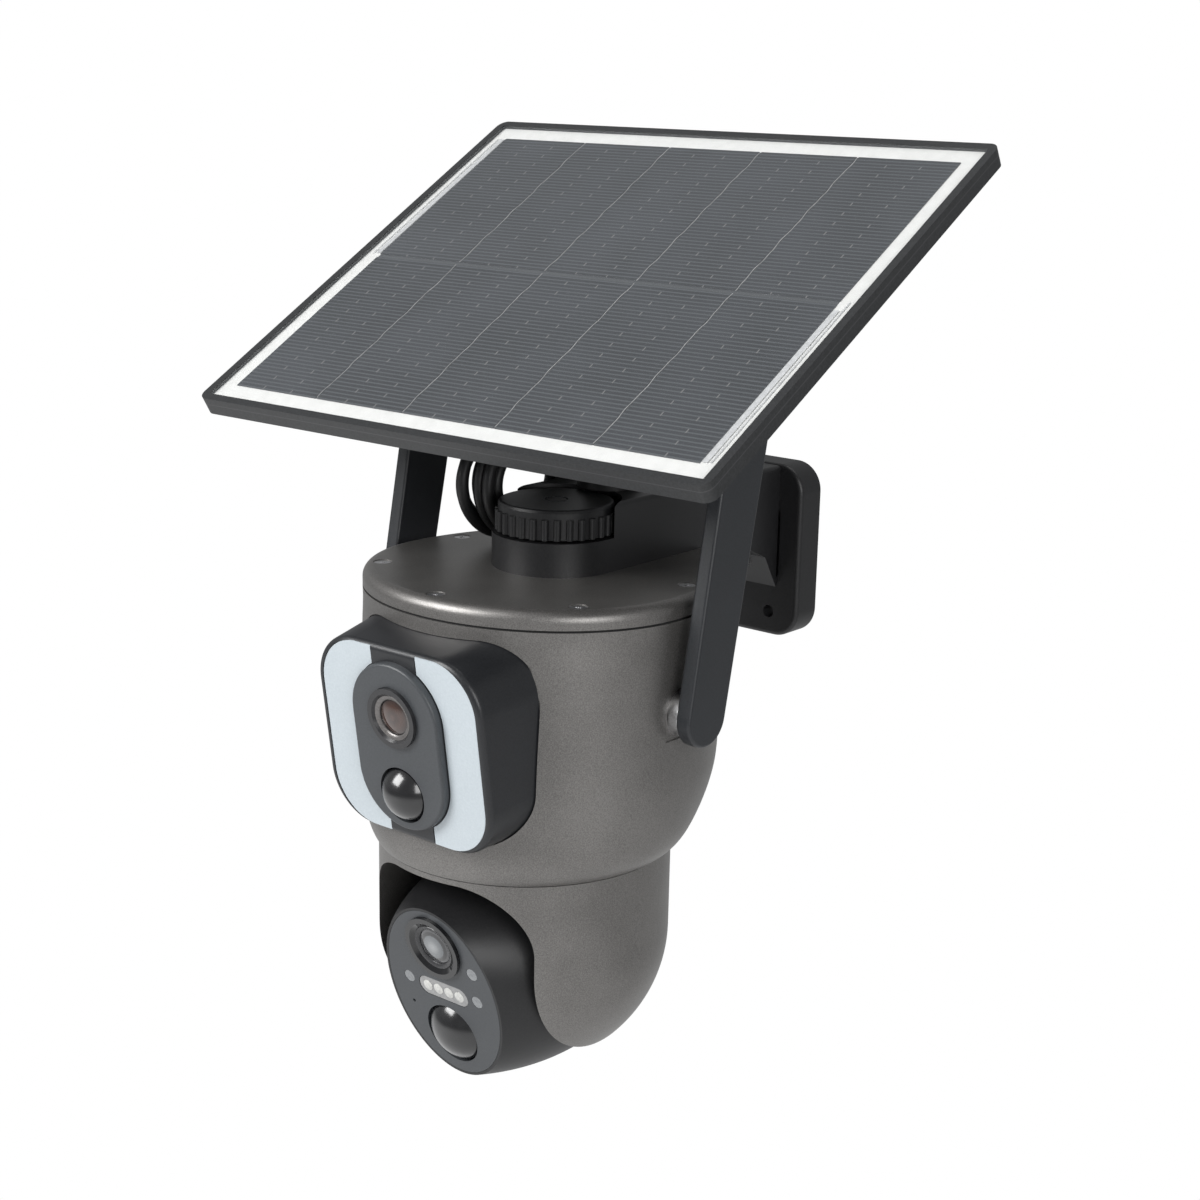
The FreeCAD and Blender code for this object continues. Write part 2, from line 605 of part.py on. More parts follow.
# ======================================================================= inside the head
def make_head_insides():
    floor_top = "-rim_drop+floor_thick"
    posts = [cylinder("2.5", "5", x, "25.6", z, "y") for x in ("-36", "36") for z in ("-57", "-19")]
    finish(fuse(box("-38.4", "38.4", "24", "25.6", "-59.6", "-16"),
                box("-12", "12", "21", "24", "-50", "-38"), *posts), "main_board", "head")
    flange = "-gasket-flange_deep"
    lugs = [box(low, high, "34", "44", flange + "-3", flange)
            for low, high in (("-49", "-39"), ("39", "49"))]
    tray = fuse(box("-40", "40", "30.6", "52", "-61.6", "-11.8"), *lugs)
    finish(cut(tray, box("-38.4", "38.4", "29", "50.4", "-60", "-13.4"),
               *[box(low, high, "29", "50.4", "-60", "-15") for low, high in
                 (("-38.4", "-30"), ("30", "38.4"))]), "battery_tray", "head")
    radius, length = "cell_r", "cell_long"
    cells = [cylinder(radius, length, "-cell_long/2", "31.5+cell_r", z, "x")
             for z in ("-59.9+cell_r", "-59.8+3*cell_r")]
    finish(fuse(*cells), "battery_cells", "head")
    under = "lid_thick-lid_skin"
    finish(fuse(cylinder("18", "2.4", "0", "-20", under + "-2.4"),
                cylinder("12", "6", "0", "-20", under + "-8.4")), "speaker", "head")
    finish(tube("hub_pan_r+4-bearing_gap", "hub_pan_r+bearing_gap", "floor_thick", "0", "0",
                "-rim_drop"), "pan_bearing", "head")
    motor_y = "gear_module*(pan_teeth+pinion_teeth)/2+gear_play"
    finish(fuse(cylinder("12", "14", "0", motor_y, "-76.4"),
                cylinder("2.5", "2", "0", motor_y, "-78.4"),
                box("-17.5", "17.5", motor_y + "-3.5", motor_y + "+3.5", "-76.4", "-75.4"),
                *[cylinder("2.5", f"-76.4-({floor_top})", x, motor_y, floor_top)
                  for x in ("-15", "15")]), "pan_motor", "head")


def tooth_outline(teeth, pitch, phase):
    """Corners of one spur gear, each tooth a trapezium with play at its flanks."""
    module = size("gear_module")
    root, tip = pitch - 1.1 * module, pitch + 0.8 * module
    step = 2 * math.pi / teeth
    wide = 0.5 * module * math.pi * 0.78
    corners = []
    for n in range(teeth):
        middle = phase + n * step
        for radius, half in ((root, wide * 0.72), (tip, wide * 0.26), (tip, -wide * 0.26),
                             (root, -wide * 0.72)):
            angle = middle - half / radius
            corners.append(V(radius * math.cos(angle), radius * math.sin(angle), 0))
    return corners + corners[:1]


def gear(teeth, bore, wide, phase):
    pitch = size("gear_module") * teeth / 2
    blank = Part.Face(Part.makePolygon(tooth_outline(teeth, pitch, phase)))
    return blank.extrude(V(0, 0, wide)).cut(upright(bore, -1, wide + 1))


def make_pan_drive():
    """Ring of teeth on the pan hub, and the motor's pinion behind it, in mesh at rest."""
    module, teeth, few = size("gear_module"), int(size("pan_teeth")), int(size("pinion_teeth"))
    wide = size("gear_wide")
    level = -size("rim_drop") + size("floor_thick") + 1
    big = gear(teeth, size("hub_pan_r"), wide, math.pi / 2)
    big.translate(V(0, 0, level))
    finish(shape_part("pan_gear", big), "pan_gear", "head")
    small = gear(few, 1.5, wide, -math.pi / 2 + math.pi / few)
    small.translate(V(0, module * (teeth + few) / 2 + size("gear_play"), level))
    small = small.fuse(upright(1.5, level, level + wide + 2.6, 0,
                               module * (teeth + few) / 2 + size("gear_play")))
    finish(shape_part("pan_pinion", small), "pan_pinion", "head")


# ======================================================================= light module
def make_module():
    wall, deep = size("mod_wall"), size("mod_deep")
    block = module_block(0, deep)
    front = [e for e in block.Edges if e.BoundBox.YMax < 0.01]
    block = block.makeFillet(size("mod_edge"), front)
    hollow = module_block(-wall, deep + 2).cut(
        Part.makeBox(200, wall * 1.2 + 50, 200, V(-100, -50, -100)))
    block = block.cut(hollow)
    inset, split = size("bar_inset"), size("bar_split")
    plate_half, plate_high = size("plate_half"), size("plate_high")
    gap = size("fit_gap")

    def bars(grow, front):
        """The two light bars: the face's outline less the middle plate and a strip."""
        face = module_block(-inset - 1.2 + grow, deep).common(
            Part.makeBox(200, size("bar_thick") + size("bar_sunk") - front, 200, V(-100, front, -100)))
        face = face.cut(stadium(plate_half + 0.5 - grow, plate_high + 0.5 - grow, -5, 20))
        return face.cut(Part.makeBox(2 * (split - grow), 40, 200, V(-split + grow, -10, -100)))

    block = block.cut(bars(gap, -1))
    for spot in (size("lens_up"), -size("dome_down")):
        block = block.cut(Part.makeCylinder(7, 20, V(0, -5, spot), Y))
    finish(shape_part("module_housing", block), "module_housing", "module")
    finish(shape_part("light_bars", bars(0, size("bar_sunk"))), "light_bars", "module")

    proud = size("plate_proud")
    ring_r, dome_r = size("lens_ring_r"), size("dome_r")
    lens_z, dome_z = size("lens_up"), -size("dome_down")
    plate = stadium(plate_half, plate_high, -proud, 0)
    plate = plate.makeFillet(1.1, [e for e in plate.Edges if e.BoundBox.YMax < -proud + 0.01])
    plate = plate.cut(Part.makeCylinder(ring_r, 30, V(0, -20, lens_z), Y))
    plate = plate.cut(Part.makeCylinder(dome_r, 30, V(0, -20, dome_z), Y))
    finish(shape_part("module_plate", plate), "module_plate", "module")
    lens_set("module", ring_r, size("lens_r"), lens_z, -proud, 0.0)
    dome("module_sensor_dome", "module", dome_r - 0.1, dome_z, 0.0, 5.2 + proud)
    back = wall * 1.2
    board = Part.makeBox(58, 1.6, 54, V(-29, back + 4.6, -27))
    for spot in ((-7.5, 24), (7.5, 24), (-7.5, -24.5), (7.5, -24.5)):
        board = board.fuse(Part.makeCylinder(2, 4.6, V(spot[0], back, spot[1]), Y))
    board = board.cut(Part.makeCylinder(size("lens_r") + 0.5, 20, V(0, back, lens_z), Y))
    for x in (-27.5, 27.5):
        for n in range(6):
            board = board.fuse(Part.makeBox(2.8, 1, 2.8, V(x - 1.4, back + 3.6, -20 + 7.5 * n)))
    finish(shape_part("light_board", board), "light_board", "module")


def lens_set(prefix, ring_r, glass_r, z, front, seat):
    """A lens ring with a stepped mouth, its glass, and the barrel behind."""
    ring = Part.makeCylinder(ring_r - 0.1, seat - front + 1.4, V(0, front - 1.4, z), Y)
    ring = ring.cut(Part.makeCone(ring_r - 2.0, glass_r + 0.9, 2.0, V(0, front - 1.45, z), Y))
    ring = ring.cut(Part.makeCylinder(glass_r, 40, V(0, front - 5, z), Y))
    finish(shape_part(prefix + "_lens_ring", ring), prefix + "_lens_ring", prefix)
    radius = glass_r - 0.1
    glass = Part.makeCylinder(radius, 1.6, V(0, front + 0.6, z), Y)
    bulge = 1.0
    ball = (radius * radius + bulge * bulge) / (2 * bulge)
    cap = Part.makeSphere(ball, V(0, front + 0.6 + ball - bulge, z)).common(
        Part.makeCylinder(radius, bulge + 0.2, V(0, front + 0.6 - bulge - 0.1, z), Y))
    finish(shape_part(prefix + "_lens_glass", glass.fuse(cap).removeSplitter()),
           prefix + "_lens_glass", prefix)
    barrel = Part.makeCylinder(glass_r - 0.15, 12, V(0, front + 2.2, z), Y)
    barrel = barrel.fuse(Part.makeBox(20, 1.6, 20, V(-10, front + 14.2, z - 10)))
    finish(shape_part(prefix + "_camera", barrel.removeSplitter()), prefix + "_camera", prefix)


def dome(label, frame, radius, z, base, rise):
    """A shallow motion-sensor dome, from a sphere's cap on a short skirt."""
    cap_rise = rise - 1.0
    ball = (radius * radius + cap_rise * cap_rise) / (2 * cap_rise)
    cap = Part.makeSphere(ball, V(0, base - rise + ball, z)).common(
        Part.makeCylinder(radius, cap_rise + 0.5, V(0, base - rise - 0.5, z), Y))
    skirt = Part.makeCylinder(radius, 1.0, V(0, base - 1.0, z), Y)
    finish(shape_part(label, cap.fuse(skirt).removeSplitter()), label, frame)


# ======================================================================= antennas
def make_antennas():
    for side, name in ((-1, "left"), (1, "right")):
        inner = size("half_wide") + size("hub_out")
        thick, half, top_half = size("ant_thick"), size("ant_half"), size("ant_top_half")
        long = size("ant_long")
        outline = [V(0, -half, 0), V(0, -top_half, long - 4), V(0, -top_half + 4, long),
                   V(0, top_half - 4, long), V(0, top_half, long - 4), V(0, half, 0)]
        edges = [Part.LineSegment(outline[n], outline[n + 1]).toShape() for n in range(5)]
        edges.append(Part.Arc(outline[5], V(0, 0, -half), outline[0]).toShape())
        blade = Part.Face(Part.Wire(Part.sortEdges(edges)[0])).extrude(V(thick, 0, 0))
        rims = [e for e in blade.Edges if e.BoundBox.XLength < 0.01]
        blade = blade.makeFillet(1.2, rims)
        blade.translate(V(inner if side > 0 else -inner - thick, 0, 0))
        blade = blade.cut(Part.makeCylinder(size("ant_pin_r") + size("bearing_gap"),
                                            size("ant_pin_bite") + 0.3, V(side * inner, 0, 0),
                                            V(side, 0, 0)))
        finish(shape_part("antenna_" + name, blade), "antenna_" + name, "antenna")
    hubs, pins = [], []
    for side in (-1, 1):
        start = size("half_wide") - 0.6
        way = V(side, 0, 0)
        here = V(side * start, size("ant_y"), -size("ant_drop"))
        disc = Part.makeCylinder(size("hub_r"), size("hub_out") + 0.3, here, way)
        disc = disc.makeFillet(0.8, [e for e in disc.Edges
                                     if abs(e.BoundBox.Center.x) > start + size("hub_out")])
        back = V(side * (start - 12), size("ant_y"), -size("ant_drop"))
        pin_end = size("half_wide") + size("hub_out") + size("ant_pin_bite")
        hubs.append(disc.fuse(Part.makeCylinder(size("ant_pin_r"), pin_end - start + 12,
                                                back, way)).removeSplitter())
        nut = Part.makeCylinder(6, 3, V(side * (start - 7.2), size("ant_y"), -size("ant_drop")),
                                way)
        pins.append(nut.cut(Part.makeCylinder(size("ant_pin_r"), 30, back, way)))
    finish(shape_part("antenna_hubs", Part.makeCompound(hubs)), "antenna_hubs", "head")
    finish(shape_part("antenna_nuts", Part.makeCompound(pins)), "antenna_nuts", "head")


# ======================================================================= pan housing
def make_pan_housing():
    r, wall, drop = size("cup_r"), size("cup_wall"), size("rim_drop")
    gap, top, ball = size("pan_gap"), size("cup_top"), size("ball_centre")
    centre = V(0, 0, -ball)

    def cup(radius, high):
        return upright(radius, -ball, high).fuse(Part.makeSphere(radius, centre).common(
            Part.makeBox(200, 200, 200, V(-100, -100, -ball - 200)))).removeSplitter()

    def slot(grow):
        """The space the eye turns in: flat cheeks, an arched roof, open in front and below."""
        half, arch = size("slot_half") + grow, size("arch_r")
        roof = -drop - gap - top + grow
        back = size("slot_back") + grow
        block = Part.makeBox(2 * half, 80 + back, 120, V(-half, -80, roof - 120))
        corners = [e for e in block.Edges if e.BoundBox.ZMin > roof - 0.01
                   and e.BoundBox.XLength < 0.01]
        return block.makeFillet(arch, corners)

    high = -drop - gap
    body = cup(r, high)
    hollow = cup(r - wall, high - top).cut(slot(wall))
    body = body.cut(hollow).cut(slot(0))
    hub = size("hub_pan_r") - size("bearing_gap")
    body = body.fuse(upright(hub, high - 0.5, high + size("hub_pan_high")))
    body = body.cut(upright(8, high - top - 1, high + size("hub_pan_high") + 1))
    axle = size("axle_r") + size("bearing_gap")
    tilt = -size("tilt_drop")
    for side in (-1, 1):
        body = body.cut(Part.makeCylinder(axle, wall + 2, V(side * (size("slot_half") - 1), 0, tilt),
                                          V(side, 0, 0)))
    finish(shape_part("pan_housing", body.removeSplitter()), "pan_housing", "head")
    collar = tube("hub_pan_r+5", "hub_pan_r-bearing_gap", "1.6", "0", "0",
                  "-rim_drop-pan_gap+hub_pan_high-1.6")
    finish(collar, "pan_retainer", "head")


# ======================================================================= eye
def make_eye():
    side, r, bulge = size("eye_side"), size("eye_r"), size("eye_bulge")
    face, half, high = size("face_dist"), size("face_half"), size("face_high")
    up, wall = size("face_up"), size("eye_wall")

    def oval(half_x, half_z, y, z):
        ring = Part.Ellipse(V(0, y, z + half_z), V(half_x, y, z), V(0, y, z)) \
            if half_z > half_x else Part.Ellipse(V(half_x, y, z), V(0, y, z + half_z), V(0, y, z))
        return Part.Wire([ring.toShape()])

    def solid(inset, front):
        grow = -inset
        wires = [oval(bulge + grow, r + grow, 0, 0),
                 oval(bulge * 0.93 + grow, r * 0.985 + grow, -front * 0.42, up * 0.25),
                 oval(half + grow, high + grow, -front, up)]
        nose = Part.makeLoft(wires, True, False)
        wide, deep = bulge + grow, r + grow
        curve = Part.Ellipse(V(wide, 0, 0), V(0, 0, deep), ORIGIN)
        arc = Part.Arc(curve, 0, math.pi).toShape()
        ends = [v.Point for v in arc.Vertexes]
        half_disc = Part.Face(Part.Wire([arc, Part.LineSegment(ends[-1], ends[0]).toShape()]))
        rear = half_disc.revolve(ORIGIN, X, -180)
        if rear.BoundBox.YMax < 1:
            rear = half_disc.revolve(ORIGIN, X, 180)
        block = nose.fuse(rear).removeSplitter()
        slab = 2 * (side - inset)
        return block.common(Part.makeBox(slab, 200, 200, V(-side + inset, -100, -100)))

    shell = solid(0, face)
    seat = size("face_thick")
    rim = size("face_rim")
    shell = shell.cut(solid(wall, face).common(
        Part.makeBox(200, 200, 200, V(-100, -face + seat + 2.2, -100))))
    recess = Part.Face(oval(half - rim, high - rim, 0, up)).extrude(V(0, -seat, 0))
    recess.translate(V(0, -face + seat, 0))
    shell = shell.cut(recess)
    mouth = Part.Face(oval(half - rim - 3, high - rim - 3, 0, up)).extrude(V(0, 8, 0))
    mouth.translate(V(0, -face + seat - 1, 0))
    shell = shell.cut(mouth)
    finish(shape_part("eye_shell", shell), "eye_shell", "eye")

    gap = 0.12
    plate = Part.Face(oval(half - rim - gap, high - rim - gap, 0, up)).extrude(V(0, -seat, 0))
    plate.translate(V(0, -face + seat, 0))
    lens_z, dome_z = up + size("eye_lens_up"), up - size("eye_dome_down")
    lens_r, dome_r = size("eye_lens_r"), size("eye_dome_r")
    plate = plate.cut(Part.makeCylinder(lens_r, 20, V(0, -face - 5, lens_z), Y))
    plate = plate.cut(Part.makeCylinder(dome_r, 20, V(0, -face - 5, dome_z), Y))
    window_half, window_high = size("window_half"), size("window_high")
    window_z = up + 0.6

    def window(grow, low, top):
        bar = stadium(window_high + grow, window_half + grow, low, top)
        bar.rotate(ORIGIN, Y, 90)
        bar.translate(V(0, 0, window_z))
        return bar

    plate = plate.cut(window(0.15, -face - 5, 10))
    leds = [(x, window_z) for x in (-7.5, -2.5, 2.5, 7.5)]
    spots = [(-16.6, window_z + 1), (16.6, window_z + 1), (16.8, up + 13.6)]
    for x, z in spots:
        plate = plate.cut(Part.makeCylinder(2.5, 20, V(x, -face - 5, z), Y))
    plate = plate.cut(Part.makeCylinder(0.7, 20, V(-17, -face - 5, up - 9.5), Y))
    finish(shape_part("eye_face", plate), "eye_face", "eye")
    finish(shape_part("eye_window", window(0, -face + 0.2, -face + seat)), "eye_window", "eye")
    discs = [Part.makeCylinder(2.4, seat - 0.1, V(x, -face + 0.1, z), Y) for x, z in spots]
    finish(shape_part("eye_indicators", Part.makeCompound(discs)), "eye_indicators", "eye")
    lens_set("eye", lens_r, size("eye_glass_r"), lens_z, -face, -face + seat)
    dome("eye_sensor_dome", "eye", dome_r - 0.1, dome_z, -face + seat, 4.6 + seat)
    behind = -face + seat + 2.4
    board = Part.makeBox(34, 1.6, 30, V(-17, behind, up - 26))
    for x, z in leds:
        board = board.fuse(Part.makeCylinder(1.7, 2.2, V(x, behind - 2.2, z), Y))
    for x in (-15.4, 15.4):
        board = board.fuse(Part.makeBox(1.2, 2.4, 22, V(x - 0.6, behind - 2.4, up - 18)))
    finish(shape_part("eye_light_board", board), "eye_light_board", "eye")
    motor = Part.makeCylinder(13, 18, V(4, 0, 0), X).fuse(
        Part.makeCylinder(4, side - size("eye_wall") - 22, V(22, 0, 0), X))
    finish(shape_part("tilt_motor", motor.removeSplitter()), "tilt_motor", "eye")
    long = size("axle_long")
    axles = [Part.makeCylinder(size("axle_r"), long, V(s * side, 0, 0), V(s, 0, 0))
             for s in (-1, 1)]
    finish(shape_part("tilt_axles", Part.makeCompound(axles)), "tilt_axles", "eye")


# ======================================================================= post and panel
def make_post():
    base = fuse(cylinder("post_base_r", "post_flange", "0", "0", "arm_top"),
                cylinder("post_r+2", "post_base_high", "0", "0", "arm_top"))
    finish(cut(base, cylinder("spigot_r+bearing_gap", "post_base_high", "0", "0", "arm_top+1")),
           "post_base", "post")
    top, seat = "pin_rise", "arm_top+post_base_high+pan_gap/2"
    column = fuse(
        cylinder("spigot_r", "post_base_high-1.5", "0", "0", "arm_top+1.5+pan_gap/2"),
        cylinder("post_r+2", "3", "0", "0", seat),
        cylinder("post_r", f"pin_rise-boss_r-2-({seat})", "0", "0", seat),
        cylinder("boss_r", "2*boss_half", "-boss_half", "0", top, "x"),
        box("-boss_half", "boss_half", "-post_r*0.8", "post_r*0.8", "pin_rise-boss_r-3", top))
    finish(cut(column, cylinder("pin_r+bearing_gap", "60", "-30", "0", top, "x")),
           "panel_post", "post")


def make_hinge():
    inner, outer = "boss_half+ear_gap", "boss_half+ear_gap+ear_thick"
    under = "panel_top-frame_high-back_high"
    ears = []
    for low, high in ((inner, outer), (f"-({outer})", f"-({inner})")):
        ears.append(cylinder("boss_r", "ear_thick", low, "0", "0", "x"))
        ears.append(box(low, high, "-boss_r", "boss_r", "0", under))
    plate = box(f"-({outer})", outer, "-16", "16", under + "-1.6", under)
    notch = cylinder("boss_r+1.2", "2*boss_half+0.6", "-boss_half-0.3", "0", "0", "x")
    finish(cut(fuse(plate, *ears), notch, cylinder("pin_r", "60", "-30", "0", "0", "x")),
           "panel_hinge", "panel")
    finish(fuse(cylinder("pin_r", "2*(boss_half+ear_gap+ear_thick)",
                         "-(boss_half+ear_gap+ear_thick)", "0", "0", "x"),
                cylinder("pin_r*1.8", "2.4", "-(boss_half+ear_gap+ear_thick)-2.4", "0", "0", "x")),
           "tilt_pin", "panel")
    hub = "boss_half+ear_gap+ear_thick"
    finish(fuse(cylinder("5.5", "7", hub, "0", "0", "x"),
                box(hub + "+1", hub + "+6", "-13", "13", "-1.4", "1.4")), "tilt_wing_nut", "panel")


def make_panel():
    top, high = "panel_top", "frame_high"
    body = new_body("panel_frame")
    outer = rounded(sketch_on(body, "XY_Plane", "panel_top-frame_high"),
                    "panel_wide/2", "panel_deep/2", "panel_round")
    pad(body, outer, high)
    tray = rounded(sketch_on(body, "XY_Plane", top), "panel_wide/2-frame_lip",
                   "panel_deep/2-frame_lip", "panel_round/10")
    pocket(body, tray, "sheet_thick+cell_thick+glass_thick+0.3")
    finish(body, "panel_frame", "panel")

    back = new_body("panel_back")
    plan = rounded(sketch_on(back, "XY_Plane", "panel_top-frame_high-back_high"),
                   "back_wide/2", "back_deep/2", "12")
    pad(back, plan, "back_high")
    finish(back, "panel_back", "panel")

    inside_x, inside_y = "panel_wide/2-frame_lip-0.15", "panel_deep/2-frame_lip-0.15"
    level = "panel_top-sheet_thick-cell_thick-glass_thick-0.3"
    finish(box(f"-({inside_x})", inside_x, f"-({inside_y})", inside_y, level,
               level + "+sheet_thick"), "panel_backsheet", "panel")
    strips = []
    count = int(size("strips"))
    for n in range(count):
        for row in (-1, 1):
            x = f"{n - (count - 1) / 2}*(strip_wide+strip_gap_x)-strip_wide/2"
            y = "strip_gap_y/2" if row > 0 else "-strip_gap_y/2-strip_deep"
            strips.append(box(x, f"({x})+strip_wide", y, f"({y})+strip_deep",
                              level + "+sheet_thick", level + "+sheet_thick+cell_thick"))
    finish(fuse(*strips), "solar_cells", "panel")
    finish(box(f"-({inside_x})", inside_x, f"-({inside_y})", inside_y,
               level + "+sheet_thick+cell_thick", level + "+sheet_thick+cell_thick+glass_thick"),
           "panel_glass", "panel")
    under = "panel_top-frame_high-back_high"
    finish(box("-box_far", "-box_near", "-13", "13", "-7", under), "junction_box", "panel")
    finish(cut(fuse(cylinder("5", "gland_x-box_far", "-gland_x", "0", "0", "x")),
               cylinder("lead_r", "3", "-gland_x", "0", "0", "x")), "cable_gland", "panel")
    screws = [cylinder("2.6", "1.2", x, y, under + "-1.2")
              for x in ("-76", "76") for y in ("-56", "56")]
    finish(fuse(*screws), "panel_screws", "panel")


# ======================================================================= panel lead
# Corners of the lead's two runs, in the whole part's frame: gland to coil, then coil to plug.
LEAD_DOWN = [(-41.9, -90.0, 86.85), (-48.0, -90.0, 86.85), (-53.6, -89.9, 84.5),
             (-57.9, -89.8, 80.2), (-60.2, -89.7, 74.6), (-60.2, -89.6, 67.6),
             (-57.2, -90.4, 60.6), (-51.6, -92.8, 55.8), (-44.7, -96.6, 53.9),
             (-38.1, -101.0, 54.6)]
LEAD_AWAY = [(-41.2, -100.5, 16.2), (-41.2, -93.5, 16.8), (-40.9, -85.9, 17.9),
             (-40.2, -78.0, 18.6), (-39.2, -70.2, 18.9), (-38.3, -63.4, 18.7),
             (-37.9, -57.4, 16.3), (-37.8, -52.8, 11.8), (-37.8, -50.3, 5.8),
             (-37.8, -50.3, -0.7)]


def inlet_line():
    """Where the lead's plug goes through the rear wall, and the way it points."""
    half, rear = size("half_wide"), size("rear_deep")
    x = -size("inlet_x")
    back = rear * math.sqrt(1 - (x / half) ** 2)
    spot = V(x, size("egg_mid") + back, -size("inlet_drop"))
    return spot, V(x / half ** 2, back / rear ** 2, 0).normalize()


def lead_tube(points):
    """Straight runs joined by tangent arcs, each as large as its runs allow."""
    spots = [V(*p) for p in points]
    edges, radii, start = [], [], spots[0]
    for before, corner, after in zip(spots, spots[1:], spots[2:]):
        into, out = corner - before, after - corner
        turn = into.getAngle(out)
        cut_back = 0.45 * min(into.Length, out.Length)
        radius = cut_back / math.tan(turn / 2)
        first = corner - into.normalize() * cut_back
        last = corner + out.normalize() * cut_back
        middle_way = (first + last) * 0.5 - corner
        bow = middle_way.normalize() * (math.hypot(radius, cut_back) - radius)
        edges.append(Part.LineSegment(start, first).toShape())
        edges.append(Part.Arc(first, corner + bow, last).toShape())
        radii.append(round(radius, 1))
        start = last
    edges.append(Part.LineSegment(start, spots[-1]).toShape())
    path = Part.Wire(edges)
    way = (spots[1] - spots[0]).normalize()
    ring = Part.Wire([Part.Circle(spots[0], way, size("lead_r")).toShape()])
    pipe = path.makePipeShell([ring], True, True)
    return pipe, path, radii


def make_lead():
    wide = 2 * size("lead_r") * size("coil_turns_wide")
    centre = V(-size("coil_x") - wide, size("coil_y") - size("pan_reach"),
               size("coil_z") + size("seam_rise"))

    def oval(inset, spare=0.0):
        half_y, half_z = size("coil_half_y") - inset, size("coil_half_z") - inset
        here = centre - V(spare, 0, 0)
        ring = Part.Ellipse(here + V(0, half_y, 0), here + V(0, 0, half_z), here)
        return Part.Face(Part.Wire([ring.toShape()])).extrude(V(wide + 2 * spare, 0, 0))

    finish(shape_part("lead_coil", oval(0).cut(oval(size("coil_ring"), 1))), "lead_coil")
    space = oval(-0.15, 0.15)
    for label, points in (("lead_to_coil", LEAD_DOWN), ("lead_to_head", LEAD_AWAY)):
        pipe, path, radii = lead_tube(points)
        area = math.pi * size("lead_r") ** 2
        print(label, "radii", radii, "length", round(path.Length, 1),
              "volume share", round(pipe.Volume / (area * path.Length), 4))
        finish(shape_part(label, pipe.cut(space)), label)
    spot, way = inlet_line()
    radius = size("inlet_r")
    knee = spot + way * size("plug_out")
    nose = Part.makeCylinder(radius, size("plug_out") + 8, spot - way * 8, way)
    collar = Part.makeCylinder(radius + 1.5, size("plug_out") + 1, spot - way, way)
    knuckle = Part.makeSphere(radius + 1.5, knee)
    boot = Part.makeCone(size("plug_r"), size("lead_r") + 0.6, size("boot_long"), knee, Z)
    finish(shape_part("lead_plug", nose.fuse([collar, knuckle, boot]).removeSplitter()),
           "lead_plug", "head")


def make_small_parts():
    finish(fuse(cylinder("stud_r-bearing_gap", "arm_step+insert_high-2", "0", "0", "0")),
           "swivel_stud", "swivel")
    finish(cut(cylinder("insert_r", "insert_high-0.2", "0", "0", "arm_step+washer_thick"),
               cylinder("stud_r", "insert_high+2", "0", "0", "arm_step")), "knob_insert", "swivel")
    finish(fuse(*make_arm_bolts()), "arm_bolts")


def build():
    make_wall_plate()
    make_arm()
    make_knob()
    shell = make_head()
    make_upper_housing(shell)
    make_head_insides()
    make_pan_drive()
    make_module()
    make_antennas()
    make_pan_housing()
    make_eye()
    make_post()
    make_hinge()
    make_panel()
    make_lead()
    make_small_parts()


build()
doc.recompute()
os.makedirs("parts", exist_ok=True)
faults = []
for item in doc.Objects:
    if "Invalid" in item.State or "Error" in item.State:
        faults.append(f"{item.Label} is {item.State}")
for item, label in pieces:
    if item.Shape.isNull() or not item.Shape.isValid():
        faults.append(f"{label} has no valid shape")
for fault in faults:
    print("FAULT", fault)
for item, label in pieces:
    print(label, round(item.Shape.Volume), len(item.Shape.Solids))
    item.Shape.exportStep(f"parts/{label}.step")
if faults:
    raise SystemExit("the model has faults")
print(len(pieces), "sub-parts")
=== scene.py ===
# %% [markdown]
# # A solar security camera, dressed for the studio
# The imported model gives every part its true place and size. This lesson adds what a maker would see
# last: paint, moulded plastic, glass, a rubber lead, and the small fittings that catch the light.
# Everything is in metres: +Z is up, the wall is at y = 0 and the camera looks along -Y.

# %% Load the frame
import math
import bpy
import bmesh
from mathutils import Matrix, Vector


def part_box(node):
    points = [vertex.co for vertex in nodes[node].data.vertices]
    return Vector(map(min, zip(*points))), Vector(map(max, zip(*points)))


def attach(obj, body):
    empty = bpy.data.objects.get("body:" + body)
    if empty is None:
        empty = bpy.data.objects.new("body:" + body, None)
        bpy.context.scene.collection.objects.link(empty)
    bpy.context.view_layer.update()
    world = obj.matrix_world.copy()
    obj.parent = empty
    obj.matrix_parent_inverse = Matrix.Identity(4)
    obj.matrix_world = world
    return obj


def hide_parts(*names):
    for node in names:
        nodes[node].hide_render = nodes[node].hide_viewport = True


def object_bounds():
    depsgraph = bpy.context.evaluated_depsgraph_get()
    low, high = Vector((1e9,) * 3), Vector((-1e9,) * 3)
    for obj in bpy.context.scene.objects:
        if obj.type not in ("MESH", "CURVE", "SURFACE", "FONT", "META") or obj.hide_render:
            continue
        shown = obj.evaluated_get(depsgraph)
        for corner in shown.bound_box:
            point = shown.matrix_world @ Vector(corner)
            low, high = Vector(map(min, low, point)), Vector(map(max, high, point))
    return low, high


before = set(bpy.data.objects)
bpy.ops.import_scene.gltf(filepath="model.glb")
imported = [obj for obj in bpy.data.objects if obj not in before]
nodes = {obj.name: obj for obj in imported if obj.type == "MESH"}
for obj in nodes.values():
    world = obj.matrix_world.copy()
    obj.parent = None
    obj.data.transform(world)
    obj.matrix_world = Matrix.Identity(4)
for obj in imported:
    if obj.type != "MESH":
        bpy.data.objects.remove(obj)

cad_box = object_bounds()
MM = 0.001
print("parts", len(nodes), "box", [[round(c, 4) for c in corner] for corner in cad_box])

# %% [markdown]
# ## The camera
# The camera stands a little above the product and to its right. The view is built from three
# angles: how far round, how far up, and how much the horizon leans. Three crossed directions then
# make the camera's matrix, which is easier to check than three Euler angles.

